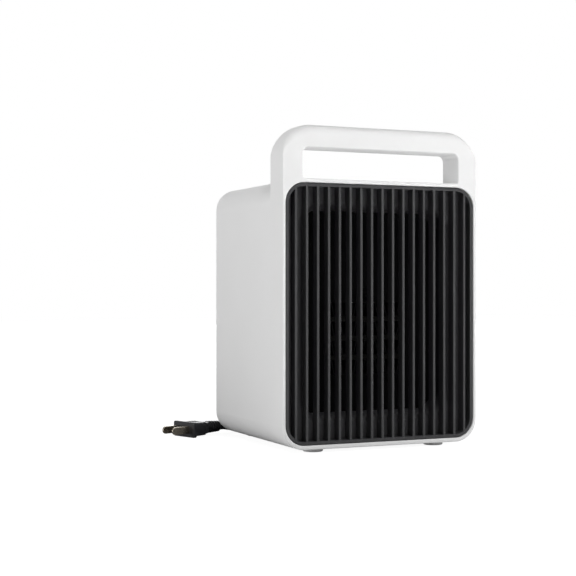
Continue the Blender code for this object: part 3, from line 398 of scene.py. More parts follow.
def lofted(name, rings):
    """A solid through a row of like rings of points, closed at both ends."""
    count = len(rings[0])
    points = [point for ring in rings for point in ring]
    faces = [tuple(range(count))[::-1], tuple(range(len(points) - count, len(points)))]
    for row in range(len(rings) - 1):
        for index in range(count):
            after = (index + 1) % count
            near = row * count
            far = near + count
            faces.append((near + index, near + after, far + after, far + index))
    shape = bpy.data.meshes.new(name)
    shape.from_pydata(points, [], faces)
    made = bpy.data.objects.new(name, shape)
    bpy.context.scene.collection.objects.link(made)
    return outward(made)


def tube_block(name, low, high, corner, steps=12):
    """A block whose four long edges, along Y, are rounded."""
    return round_edges(block(name, low, high), along(1), corner, steps)


def turned(name, profile, place, way, sides=48):
    """A solid spun from a profile of (radius, height) in millimetres, with its zero at a place."""
    choose()
    bpy.ops.mesh.primitive_plane_add(size=1)
    made = bpy.context.object
    bpy.ops.object.mode_set(mode="EDIT")
    bpy.ops.mesh.delete(type="VERT")
    shape = bmesh.from_edit_mesh(made.data)
    points = [shape.verts.new((radius * MM, 0, height * MM)) for radius, height in profile]
    for one, other in zip(points, points[1:]):
        shape.edges.new((one, other))
    bmesh.update_edit_mesh(made.data)
    bpy.ops.mesh.select_all(action="SELECT")
    bpy.ops.mesh.spin(steps=sides, angle=math.tau, center=(0, 0, 0), axis=(0, 0, 1))
    bpy.ops.mesh.select_all(action="SELECT")
    bpy.ops.mesh.remove_doubles(threshold=0.001 * MM)
    bpy.ops.mesh.normals_make_consistent(inside=False)
    bpy.ops.object.mode_set(mode="OBJECT")
    made.rotation_euler = Vector(way).to_track_quat("Z", "Y").to_euler()
    made.location = place
    return named(name)


def rounded_steps(profile, radius, steps=3):
    """A profile of (radius, height) with every corner between its two ends rounded."""
    smooth = [Vector(profile[0])]
    for before, corner, after in zip(profile, profile[1:], profile[2:]):
        before = Vector(before)
        corner = Vector(corner)
        after = Vector(after)
        reach = min(radius, (before - corner).length * 0.45, (after - corner).length * 0.45)
        start = corner + (before - corner).normalized() * reach
        end = corner + (after - corner).normalized() * reach
        for step in range(steps + 1):
            share = step / steps
            smooth.append((1 - share) ** 2 * start + 2 * share * (1 - share) * corner + share**2 * end)
    smooth.append(Vector(profile[-1]))
    return [tuple(point) for point in smooth]


def turned_about(place, axis, angle):
    """The matrix of a turn about an axis through a place."""
    place = Vector(place)
    return Matrix.Translation(place) @ Matrix.Rotation(angle, 4, Vector(axis)) @ Matrix.Translation(-place)


def slab_outline(sizes):
    """Points round the slab's outline, as (across, up), each with its outward direction."""
    half = SHELL_HIGH.x
    top = SHELL_HIGH.z + HANDLE_LIFT
    points = []
    for turn, steps, side, level, corner in (
        (0, 28, 1, top, sizes.handle_corner),
        (1, 28, -1, top, sizes.handle_corner),
        (2, 20, -1, SHELL_LOW.z, sizes.body_corner),
        (3, 20, 1, SHELL_LOW.z, sizes.body_corner),
    ):
        up = 1 if turn < 2 else -1
        centre = Vector((side * (half - corner), level - up * corner))
        for step in range(steps + 1):
            angle = math.pi / 2 * (turn + step / steps)
            out = Vector((math.cos(angle), math.sin(angle)))
            points.append((centre + out * corner, out))
    return points


class HEATER_OT_housing(bpy.types.Operator):
    """Models the white casing with its handle slab, finger opening and seats"""

    bl_idname = "heater.housing"
    bl_label = "Casing"

    def execute(self, context):
        sizes = context.scene.heater_sizes
        slab_depth = 25 * MM
        front = SHELL_LOW.y
        slab_back = front + slab_depth
        body_top = SHELL_HIGH.z - HANDLE_RISE
        # The box behind stands this little inside the slab, so that no two faces share a plane
        inset = 0.05 * MM
        shell = self.make_slab(sizes, front, slab_back)
        self.cut_opening(shell, front, slab_back, body_top)
        self.add_box(shell, sizes, body_top, inset)
        self.hollow_out(shell, sizes, body_top)
        self.cut_panel_seat(shell, body_top, inset)
        self.cut_foot_sockets(shell)
        finished(shell, "moulded_white_abs", nodes=("main_housing",), angle=32)
        return {"FINISHED"}

    def make_slab(self, sizes, front, back):
        """The handle slab: well rounded along the handle's top, nearly sharp down its sides.

        No bevel changes its radius along an edge as this one does, so the slab is lofted from
        rings, drawn in towards its two faces.
        """
        steps = 8
        least = sizes.shell_edge
        rings = []
        for level, way in ((front, 1), (back, -1)):
            these = []
            for step in range(steps + 1):
                angle = math.pi / 2 * step / steps
                ring = []
                for place, out in slab_outline(sizes):
                    share = min(1, max(0, (place.y - SHELL_HIGH.z) / sizes.handle_corner + 1))
                    share = share * share * (3 - 2 * share)
                    radius = least + (sizes.handle_round - least) * share
                    inner = place - out * radius * (1 - math.sin(angle))
                    ring.append((inner.x, level + way * radius * (1 - math.cos(angle)), inner.y))
                these.append(ring)
            rings += these if way > 0 else these[::-1]
        return lofted("casing_shell", rings)

    def cut_opening(self, shell, front, back, bottom):
        """The finger opening, rounder under the handle than along the body."""
        half = 69.2 * MM
        high = 24.1 * MM
        middle = bottom + high / 2
        low_end = Vector((-half, front - OVERRUN, bottom))
        high_end = Vector((half, back + OVERRUN, bottom + high))
        opening = block("opening", low_end, high_end)
        level = along(1)
        round_edges(opening, lambda a, b: level(a, b) and a.z > middle, 5 * MM, 8)
        round_edges(opening, lambda a, b: level(a, b) and a.z < middle, 2 * MM, 5)
        carve(shell, opening)
        for face in (front, back):
            round_edges(shell, lying_at(1, face, low_end, high_end), 1 * MM, 4)

    def add_box(self, shell, sizes, top, inset):
        """The box behind the slab, which starts inside it and ends at the rear cover."""
        half = SHELL_HIGH.x - inset
        back = SHELL_HIGH.y
        in_slab = SHELL_LOW.y + 12.5 * MM
        rear_edge = 1.8 * MM
        low = (-half, in_slab, SHELL_LOW.z + inset)
        box = tube_block("rear_box", low, (half, back, top - inset), sizes.body_corner - inset, 20)
        round_edges(box, lying_at(1, back), rear_edge, 5)
        carve(shell, box, "UNION")

    def hollow_out(self, shell, sizes, top):
        """The inside, open at the front for the grille and at the back for the cover."""
        side_wall = 2.3 * MM
        floor_wall = 3.2 * MM
        roof_wall = 3.1 * MM
        lip = 0.6 * MM
        half = SHELL_HIGH.x - side_wall
        front = SHELL_LOW.y
        low = Vector((-half, front - OVERRUN, SHELL_LOW.z + floor_wall))
        high = Vector((half, SHELL_HIGH.y + OVERRUN, top - roof_wall))
        carve(shell, tube_block("hollow", low, high, sizes.body_corner - side_wall, 20))
        round_edges(shell, lying_at(1, front, low, high), lip, 3)

    def cut_panel_seat(self, shell, top, inset):
        """The recess that the control panel lies in, with a window under it for its switches."""
        gap = 0.3 * MM
        depth = 1.9 * MM
        ledge = 4 * MM
        low = Vector((PANEL_LOW.x - gap, PANEL_LOW.y - gap, PANEL_HIGH.z - depth))
        high = Vector((PANEL_HIGH.x + gap, PANEL_HIGH.y + gap, top + OVERRUN))
        seat = block("seat", low, high)
        round_edges(seat, along(2), PANEL_CORNER + gap, 8)
        carve(shell, seat)
        round_edges(shell, lying_at(2, top - inset, low, high), 0.4 * MM, 2)
        under = Vector((ledge, ledge, -ledge))
        carve(shell, block("window", low + under, high - Vector((ledge, ledge, 0))))

    def cut_foot_sockets(self, shell):
        """Shallow round sockets that the feet sit in."""
        gap = 0.3 * MM
        depth = 1 * MM
        base = SHELL_LOW.z
        for name in FEET:
            low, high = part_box("foot_" + name)
            carve(shell, post("socket", FOOT_RADIUS + gap, (low + high) / 2, base - OVERRUN, base + depth))


class HEATER_OT_grille(bpy.types.Operator):
    """Models the black outlet grille: a ring with upright slats"""

    bl_idname = "heater.grille"
    bl_label = "Grille"

    def execute(self, context):
        sizes = context.scene.heater_sizes
        low = GRILLE_LOW
        high = GRILLE_HIGH
        corner = sizes.insert_corner
        wide = sizes.ring_width
        ring = tube_block("outlet_grille", low, high, corner, 20)
        round_edges(ring, lying_at(1, low.y), 0.7 * MM, 2)
        inner_low = Vector((low.x + wide, low.y - OVERRUN, low.z + wide))
        inner_high = Vector((high.x - wide, high.y + OVERRUN, high.z - wide))
        carve(ring, tube_block("inner", inner_low, inner_high, corner - wide, 20))
        round_edges(ring, lying_at(1, low.y, inner_low, inner_high), 0.3 * MM, 2)
        self.add_slats(ring, sizes, low, high)
        finished(ring, "moulded_black_pbt", nodes=("front_grille",), angle=40)
        return {"FINISHED"}

    def add_slats(self, ring, sizes, low, high):
        """The slats, each run into the ring, and shortened where the ring's corners turn in."""
        # The slats stand this little behind the ring's face
        set_back = 0.05 * MM
        end_gap = 1.2 * MM
        # The photograph shows the slats this much further to the right
        aside = 0.4 * MM
        thick = sizes.slat_thickness / 2
        middle = (low + high) / 2
        upright = along(2)
        start = (-thick, low.y + set_back, low.z + end_gap)
        slat = block("slat", start, (thick, high.y, high.z - end_gap))
        round_edges(slat, lambda a, b: upright(a, b) and a.y < middle.y, 0.45 * MM, 4)
        round_edges(slat, lambda a, b: upright(a, b) and a.y > middle.y, 0.3 * MM, 2)
        flat = high.x - sizes.insert_corner
        inner_corner = sizes.insert_corner - sizes.ring_width
        for index in range(sizes.slat_count):
            across = (index - (sizes.slat_count - 1) / 2) * sizes.slat_pitch + aside
            past = max(0, abs(across) + thick - flat)
            drop = inner_corner - math.sqrt(max(0, inner_corner**2 - past**2))
            one = copied(slat, "slat_copy", (across, 0, 0))
            for vertex in one.data.vertices:
                vertex.co.z += drop if vertex.co.z < middle.z else -drop
            carve(ring, one, "UNION")
        bpy.data.objects.remove(slat, do_unlink=True)


class HEATER_OT_duct(bpy.types.Operator):
    """Models the funnel behind the slats, flared towards the grille"""

    bl_idname = "heater.duct"
    bl_label = "Outlet funnel"

    def execute(self, context):
        low = DUCT_LOW
        high = DUCT_HIGH
        mouth_half = 63 * MM
        under_mouth = 21.5 * MM
        over_mouth = 19.6 * MM
        mouth_corner = 14 * MM
        flare = 7 * MM
        duct = tube_block("outlet_funnel", low, high, context.scene.heater_sizes.insert_corner, 16)
        mouth_low = Vector((-mouth_half, low.y - OVERRUN, low.z + under_mouth))
        mouth_high = Vector((mouth_half, high.y + OVERRUN, high.z - over_mouth))
        carve(duct, tube_block("mouth", mouth_low, mouth_high, mouth_corner, 16))
        round_edges(duct, lying_at(1, low.y, mouth_low, mouth_high), flare, 10)
        reach = flare + 0.1 * MM
        flare_low = mouth_low - Vector((reach, 0, reach))
        flare_high = mouth_high + Vector((reach, 0, reach))

        def spare(places):
            """The block's back and its outer sides, which the thin funnel doesn't have."""
            outside = all(
                not (flare_low.x < p.x < flare_high.x and flare_low.z < p.z < flare_high.z)
                for p in places
            )
            on_back = all(abs(p.y - high.y) < NEAR for p in places)
            return on_back or (outside and any(p.y > low.y + MM for p in places))

        pick(duct, "FACE", spare)
        bpy.ops.mesh.delete(type="FACE")
        bpy.ops.object.mode_set(mode="OBJECT")
        wall = duct.modifiers.new("wall", "SOLIDIFY")
        wall.thickness = 1.6 * MM
        wall.offset = -1
        wall.use_even_offset = True
        bpy.ops.object.modifier_apply(modifier=wall.name)
        finished(duct, "coarse_moulded_black_pbt", nodes=("outlet_duct",), angle=40)
        return {"FINISHED"}


class HEATER_OT_rear(bpy.types.Operator):
    """Models the rear cover with its intake slots, its screws, and the mains switch"""

    bl_idname = "heater.rear"
    bl_label = "Rear cover and mains switch"

    def execute(self, context):
        low = COVER_LOW
        high = COVER_HIGH
        gland_hole = 5.3 * MM
        cover = tube_block("intake_cover", low, high, context.scene.heater_sizes.insert_corner, 16)
        round_edges(cover, lying_at(1, high.y), 0.4 * MM, 2)
        self.cut_slots(cover, low, high)
        gland = (GLAND_LOW + GLAND_HIGH) / 2
        carve(cover, bore("hole", gland_hole, gland, low.y - OVERRUN, high.y + OVERRUN))
        # The switch's frame covers this much of the cover all round its window
        lap = 1.7 * MM
        window_low = (ROCKER_LOW.x + lap, low.y - OVERRUN, ROCKER_LOW.z + lap)
        window_high = (ROCKER_HIGH.x - lap, high.y + OVERRUN, ROCKER_HIGH.z - lap)
        carve(cover, block("window", window_low, window_high))
        self.make_screws(cover, high.y)
        finished(cover, "moulded_black_pbt", nodes=("rear_cover",))
        self.make_frame()
        self.make_key()
        return {"FINISHED"}

    def cut_slots(self, cover, low, high):
        """Cuts two rows of twelve round-ended intake slots, their outer edges eased."""
        columns = 12
        pitch = 9.375 * MM
        first = -(columns - 1) / 2 * pitch
        half = 1.7 * MM
        tall = 48 * MM
        rows = (35 * MM, 91 * MM)
        for bottom in rows:
            start = (first - half, low.y - OVERRUN, bottom)
            slot = block("slot", start, (first + half, high.y + OVERRUN, bottom + tall))
            round_edges(slot, along(1), half - 0.01 * MM, 8)
            slots = [copied(slot, "slot_copy", (index * pitch, 0, 0)) for index in range(1, columns)]
            carve(cover, joined(slot, *slots))
        margin = 5 * MM
        slotted_low = Vector((first - margin, 0, rows[0] - margin))
        slotted_high = Vector((-first + margin, 0, rows[1] + tall + margin))
        round_edges(cover, lying_at(1, high.y, slotted_low, slotted_high), 0.35 * MM, 2)

    def make_screws(self, cover, level):
        """Four pan-head screws with cross recesses, each over its own hole."""
        shank = 1.5
        profile = [(0, 1.6), (1.6, 1.55), (3, 0.9), (3, 0), (shank, 0), (shank, -3), (0, -3)]
        head = turned("cover_screw", rounded_steps(profile, 0.8, 4), (0, 0, 0), (0, 0, 1), 36)
        recess_floor = 0.55
        recess_top = 3
        for reach in ((0.34, 1.6), (1.6, 0.34)):
            start = Vector((-reach[0], -reach[1], recess_floor)) * MM
            carve(head, block("bar", start, Vector((*reach, recess_top)) * MM))
        choose(head)
        head.rotation_euler = (-math.pi / 2, 0, math.radians(28))
        named("cover_screw")
        sunk = 5 * MM
        for index in range(4):
            name = f"cover_screw_{index + 1}"
            low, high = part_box(name)
            middle = (low + high) / 2
            carve(cover, bore("hole", 1.8 * MM, middle, level - sunk, level + OVERRUN, 24))
            one = copied(head, name + "_head", (middle.x, level + 0.3 * MM, middle.z))
            finished(one, "zinc_plated_steel", nodes=(name,))
        bpy.data.objects.remove(head, do_unlink=True)

    def make_frame(self):
        """The switch's frame: a flange on the cover, a body through it, and a well for the key."""
        low = ROCKER_LOW
        high = ROCKER_HIGH
        seat = COVER_HIGH.y
        flange = 2 * MM
        border = 3.2 * MM
        back_wall = 2.4 * MM
        overlap = 1 * MM
        frame_low = (low.x, seat + 0.2 * MM, low.z)
        rim = tube_block("switch_frame", frame_low, high, 2 * MM, 6)
        round_edges(rim, lying_at(1, high.y), 0.6 * MM, 3)
        body_low = (low.x + flange, low.y, low.z + flange)
        body_high = (high.x - flange, seat + overlap, high.z - flange)
        carve(rim, tube_block("switch_body", body_low, body_high, 0.8 * MM, 3), "UNION")
        well_low = Vector((low.x + border, low.y + back_wall, low.z + border))
        well_high = Vector((high.x - border, high.y + OVERRUN, high.z - border))
        carve(rim, tube_block("well", well_low, well_high, 0.8 * MM, 3))
        round_edges(rim, lying_at(1, high.y, well_low, well_high), 0.3 * MM, 2)
        finished(rim, "polished_black_nylon", nodes=("rocker_frame",))

    def make_key(self):
        """The rocking key: a block with a dished face and a back cut away at both ends."""
        joint = JOINTS["mains_rock"]
        axis = Vector(joint["pos_m"])
        half = Vector((5, 0, 7.25)) * MM
        back = 2.5 * MM
        lip = 3.5 * MM
        key_low = (axis.x - half.x, axis.y - back, axis.z - half.z)
        key = block("switch_key", key_low, (axis.x + half.x, axis.y + lip, axis.z + half.z))
        dish_floor = 2.5 * MM
        dish_radius = 33.55 * MM
        reach = 10 * MM
        middle = Vector((axis.x, axis.y + dish_floor + dish_radius, axis.z))
        across = Vector((reach, 0, 0))
        carve(key, rod("dish", dish_radius, middle - across, middle + across, 160))
        for side in (-1, 1):
            self.cut_taper(key, axis, axis.z + side * half.z, side, reach)

        def face_rim(a, b):
            return min(a.y, b.y) > axis.y + 2 * MM and abs(a.z - b.z) < 0.5 * MM

        round_edges(key, face_rim, 0.25 * MM, 2)
        marks = self.make_marks(axis)
        # The frame's key lies at its first stop, half its travel from level
        at_rest = turned_about(axis, joint["axis"], math.radians(-9))
        key.data.transform(at_rest)
        finished(
            key, "polished_black_nylon", nodes=("rocker_key",), body="mains_rocker"
        )
        for mark in marks:
            mark.data.transform(at_rest)
            finished(mark, "printed_white_ink", body="mains_rocker")

    def cut_taper(self, key, axis, end, side, reach):
        """Cuts the key's back away towards one end, which gives it room to rock."""
        wedge = 5 * MM
        run = 3.4 * MM
        low, high = sorted((end, end + side * wedge))
        start = (axis.x - reach, axis.y - 2.6 * MM, low)
        taper = block("taper", start, (axis.x + reach, axis.y - 1 * MM, high))
        pick(taper, "VERT", lambda place: place.y < axis.y - 2 * MM and abs(place.z - end) < MM)
        bpy.ops.transform.translate(value=(0, 0, -side * run))
        bpy.ops.object.mode_set(mode="OBJECT")
        carve(key, taper)

    def make_marks(self, axis):
        """A bar and a ring, raised a hair above the key's dished face."""
        from_middle = 4.4 * MM
        surface = axis.y + 2.75 * MM
        face = surface + 0.1 * MM
        bar_half = Vector((0.22, 0, 1.1)) * MM
        bar_middle = Vector((axis.x, 0, axis.z + from_middle))
        bar_low = bar_middle - bar_half + Vector((0, surface, 0))
        bar = block("mark_on", bar_low, bar_middle + bar_half + Vector((0, face, 0)))
        ring_middle = Vector((axis.x, 0, axis.z - from_middle))
        ring = bore("mark_off", 1.2 * MM, ring_middle, surface, face, 40)
        carve(ring, bore("hole", 0.8 * MM, ring_middle, surface - OVERRUN, face + OVERRUN, 40))
        return bar, ring


def smooth_route(points, spacing, steps=24):
    """Points at an even spacing on a smooth curve through given ones."""
    knots = [Vector(point) for point in points]
    knots = [2 * knots[0] - knots[1], *knots, 2 * knots[-1] - knots[-2]]
    fine = []
    for index in range(1, len(knots) - 2):
        before, start, end, after = knots[index - 1 : index + 3]
        for step in range(steps):
            t = step / steps
            value = 2 * start + (end - before) * t
            value += (2 * before - 5 * start + 4 * end - after) * t**2
            value += (3 * start - before - 3 * end + after) * t**3
            fine.append(value / 2)
    fine.append(knots[-2])
    route = [fine[0]]
    for point in fine[1:-1]:
        if (point - route[-1]).length >= spacing:
            route.append(point)
    if (fine[-1] - route[-1]).length < spacing / 2:
        route.pop()
    return [*route, fine[-1]]


def straight_ended(start, way_in, points, end, way_out, width):
    """A smooth route by way of points in millimetres, its ends square to what they meet."""
    spacing = 2.5 * MM
    first = start + way_in * width
    last = end - way_out * width
    points = [Vector(point) * MM for point in points]
    return [start, *smooth_route([first, *points, last], spacing), end]


def coil_route(centre, radius, width):
    """Two layers of turns: wound in on the floor, up a layer, and out again above."""
    turns = 5.5
    per_turn = 60
    pitch = width + 0.5 * MM
    low = width / 2 + 1.1 * MM
    total = math.tau * turns
    steps = round(turns * per_turn)
    route = []
    for step in range(steps + 1):
        angle = total * step / steps
        turned_in = min(angle, total / 2) - max(0, angle - total / 2)
        here = radius - pitch * turned_in / math.tau
        climb = min(1, max(0, (angle - total / 2 + math.pi / 2) / math.pi))
        level = low + pitch * climb**2 * (3 - 2 * climb)
        route.append(centre + Vector((here * math.cos(angle), here * math.sin(angle), level)))
    back = Vector((0, -width, 0))
    return [route[0] + back, *route, route[-1] + back]


def cord_route(width):
    """The cord's way out of its gland, round its coil, and along the floor to the plug."""
    back = Vector((0, 1, 0))
    gland = (GLAND_LOW + GLAND_HIGH) / 2
    tucked_in = 0.6 * MM
    relief_gap = 0.2 * MM
    coil_radius = 48.5 * MM
    coil_middle = Vector((gland.x - coil_radius, 158 * MM, 0))
    start = Vector((gland.x, GLAND_HIGH.y - tucked_in, gland.z))
    end = PLUG_END - PLUG_WAY * relief_gap
    lead_points = ((56.5, 117, 14), (56.5, 128, 9.2), (56.5, 138, 5.4))
    tail_points = (
        (-40.5, 132, 8.9),
        (-40.6, 121, 5.4),
        (-43.3, 108.3, 3.8),
        (-51.2, 98, 3.8),
        (-60.2, 92.8, 4.5),
        (-66, 90.7, 5.3),
    )
    coil = coil_route(coil_middle, coil_radius, width)
    lead = straight_ended(start, back, lead_points, coil[0], back, width)
    tail = straight_ended(coil[-1], -back, tail_points, end, PLUG_WAY, width)
    return [*lead, *coil[1:], *tail[1:]]


def ribbed(long, foot, wide, narrowing, ribs=5):
    """A strain relief's profile in millimetres, from its tip to its foot: ribs, with grooves between."""
    cord_radius = 3.45
    groove = 0.9
    pitch = (long - foot) / (2 * ribs)
    profile = [(0, long), (cord_radius, long)]
    for step in range(2 * ribs):
        high = long - step * pitch
        radius = wide - narrowing * (high - foot) / (long - foot) - (groove if step % 2 else 0)
        profile += [(radius, high), (radius, high - pitch)]
    return profile


class HEATER_OT_cord(bpy.types.Operator):
    """Models the coiled mains cord with its strain relief and its tie"""

    bl_idname = "heater.cord"
    bl_label = "Mains cord"

    def execute(self, context):
        width = context.scene.heater_sizes.cord_width
        self.make_cord(context, cord_route(width), width)
        self.make_gland((GLAND_LOW + GLAND_HIGH) / 2)
        self.make_tie()
        return {"FINISHED"}

    def make_cord(self, context, route, width):
        """The round cord, as one curve along its route."""
        line = bpy.data.curves.new("mains_cord", "CURVE")
        line.dimensions = "3D"
        line.bevel_depth = width / 2
        line.bevel_resolution = 5
        line.use_fill_caps = True
        spline = line.splines.new("POLY")
        spline.points.add(len(route) - 1)
        for point, place in zip(spline.points, route):
            point.co = (*place, 1)
        spline.use_smooth = True
        line.materials.append(bpy.data.materials["extruded_black_pvc"])
        cord = bpy.data.objects.new("mains_cord", line)
        context.scene.collection.objects.link(cord)
        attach(cord, "casing")
        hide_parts("cord_lead", "cord_coil", "cord_tail", "cord_inner")

    def make_gland(self, gland):
        """The ribbed, tapered sleeve where the cord leaves the rear cover, with its collar."""
        collar = 2.0
        collar_radius = 6.6
        wide = 5.0
        foot = -3
        profile = ribbed(long=30.0, foot=collar, wide=wide, narrowing=0.6)
        profile += [(wide, collar), (collar_radius, collar), (collar_radius, 0), (wide, 0)]
        profile += [(wide, foot), (0, foot)]
        seat = (gland.x, COVER_HIGH.y + 0.3 * MM, gland.z)
        sleeve = turned("cord_gland_relief", rounded_steps(profile, 0.5, 2), seat, (0, 1, 0), 48)
        finished(sleeve, "extruded_black_pvc", nodes=("cord_gland",), angle=40)

    def make_tie(self):
        """The flat strap round the coil, a closed band with eased edges and a buckle on top."""
        low = TIE_LOW
        high = TIE_HIGH
        thick = 0.8 * MM
        band = block("cord_strap", low, high)
        round_edges(band, along(0), 3 * MM, 6)
        inner_low = low + Vector((-OVERRUN, thick, thick))
        inner = block("inner", inner_low, high - Vector((-OVERRUN, thick, thick)))
        round_edges(inner, along(0), 3 * MM - thick, 6)
        carve(band, inner)
        buckle = Vector((10.8, 7, 1.8)) * MM
        past_band = 0.4 * MM
        sunk = 0.6 * MM
        buckle_low = Vector((low.x - past_band, (low.y + high.y - buckle.y) / 2, high.z - sunk))
        head = block("buckle", buckle_low, buckle_low + buckle)
        round_edges(head, lambda a, b: a.z > high.z and b.z > high.z, 0.5 * MM, 3)
        carve(band, head, "UNION")
        finished(band, "moulded_black_pbt", nodes=("cord_tie",))


class HEATER_OT_plug(bpy.types.Operator):
    """Models the two-blade mains plug with its blades along +X, and lays it at the cord's end"""

    bl_idname = "heater.plug"
    bl_label = "Mains plug"

    def execute(self, context):
        flange_back = -PLUG_FLANGE
        blade_spacing = 12.7 * MM
        body = self.make_shoulder()
        half = Vector((0, 14, 6.5)) * MM
        flange = block("flange", Vector((flange_back, 0, 0)) - half, half)
        round_edges(flange, along(0), 1.6 * MM, 5)
        round_edges(flange, lying_at(0, 0), 0.5 * MM, 3)
        round_edges(flange, lying_at(0, flange_back), 0.4 * MM, 3)
        carve(body, flange, "UNION")
        carve(body, self.make_relief(), "UNION")
        for face in (-1, 1):
            self.press_grip(body, face)
        place = Matrix.Translation(PLUG_PLACE) @ Matrix.Rotation(PLUG_TURN, 4, "Z")
        for index, side in enumerate((-1, 1)):
            blade = self.make_blade(f"plug_pin_{index + 1}", side * blade_spacing / 2)
            blade.data.transform(place)
            node = f"plug_blade_{index + 1}"
            finished(blade, "nickel_plated_strip", nodes=(node,))
        choose(body)
        body.name = "plug_moulding"
        body.data.name = "plug_moulding"
        body.data.transform(place)
        finished(body, "extruded_black_pvc", nodes=("plug_body",), angle=38)
        self.declare_cord(context.scene.heater_sizes.cord_width)
        return {"FINISHED"}

    def declare_cord(self, width):
        """Works out the cord's route again, and does nothing more with it."""
        route = cord_route(width)

    def make_shoulder(self):
        """The body from the flange to the neck: cut across at stations, and drawn in at each."""
        front = -1.4 * MM
        half = Vector((0, 10.5, 5.7)) * MM
        full = 21.0
        body = block("plug_moulding", Vector((-PLUG_BODY, 0, 0)) - half, Vector((front, 0, 0)) + half)
        # Each station: its place in millimetres, the width there, and the share of the thickness
        stations = [(-PLUG_FLANGE / MM - step, full - 4.6 * (step / 15) ** 2, 1.0) for step in range(1, 16)]
        stations += [(-17.85, 16.3, 1.0), (-17.95, 16.0, 0.93), (-18.6, 15.2, 0.92)]
        stations += [(-18.7, 14.9, 0.87), (-20.8, 13.0, 0.86), (-22.6, 11.4, 0.85)]
        for station in stations:
            pick(body, "FACE", lambda places: True)
            bpy.ops.mesh.bisect(plane_co=(station[0] * MM, 0, 0), plane_no=(1, 0, 0))
            bpy.ops.object.mode_set(mode="OBJECT")
        stations.append((-PLUG_BODY / MM, 10.4, 0.84))
        hair = 0.01 * MM
        for x, wide, thick in stations:
            pick(body, "VERT", lambda place, x=x: abs(place.x - x * MM) < hair)
            bpy.ops.transform.resize(value=(1, wide / full, thick))
            bpy.ops.object.mode_set(mode="OBJECT")

        def long_edge(a, b):
            outside = all(abs(p.z) > 4.3 * MM and abs(p.y) > 4.5 * MM for p in (a, b))
            return outside and a.z * b.z > 0 and a.y * b.y > 0 and abs(a.x - b.x) > hair

        return round_edges(body, long_edge, 1.4 * MM, 4)

    def make_relief(self):
        """The sleeve on the plug's end, with five rounded ribs and its foot inside the body."""
        foot = -2
        profile = ribbed(long=PLUG_RELIEF / MM, foot=0, wide=5.5, narrowing=0.8)
        profile = [*profile[:-1], (profile[-1][0], foot), (0, foot)]
        return turned("relief", rounded_steps(profile, 0.6, 3), (-PLUG_BODY, 0, 0), (-1, 0, 0), 40)

    def press_grip(self, body, face):
        """The thumb grip: a shallow recess, narrower towards the neck, with fine ribs along it."""
        floor = face * 5.2 * MM
        outside = face * 8 * MM
        back = -14.8 * MM
        front = -6.2 * MM
        half = 5.75 * MM
        narrow_half = 3.5 * MM
        low, high = sorted((floor, outside))
        grip = block("grip", (back, -half, low), (front, half, high))
        pick(grip, "VERT", lambda place: place.x < (back + front) / 2)
        bpy.ops.transform.resize(value=(1, narrow_half / half, 1))
        bpy.ops.object.mode_set(mode="OBJECT")
        round_edges(grip, along(2), 0.4 * MM, 3)
        carve(body, grip)
        margin = 0.4 * MM
        ribs = 9
        pitch = 0.75 * MM
        aside = -(ribs - 1) / 2 * pitch
        rib = rod("rib", 0.24 * MM, (back + margin, aside, floor), (front - margin, aside, floor), 12)
        copies = [copied(rib, "rib_copy", (0, step * pitch, 0)) for step in range(1, ribs)]
        carve(body, joined(rib, *copies), "UNION")

    def make_blade(self, name, across):
        """A flat blade with a rounded tip and eased edges."""
        thick = 1.5 * MM
        high = 6.3 * MM
        inside = -4 * MM
        long = 17.9 * MM
        start = Vector((inside, across - thick / 2, -high / 2))
        blade = block(name, start, (long, across + thick / 2, high / 2))
        level = along(1)
        round_edges(blade, lambda a, b: level(a, b) and a.x > 0, 3 * MM, 8)
        for side in (start.y, start.y + thick):
            flat = lying_at(1, side)
            round_edges(blade, lambda a, b: flat(a, b) and max(a.x, b.x) > inside + MM, 0.3 * MM, 3)
        return blade


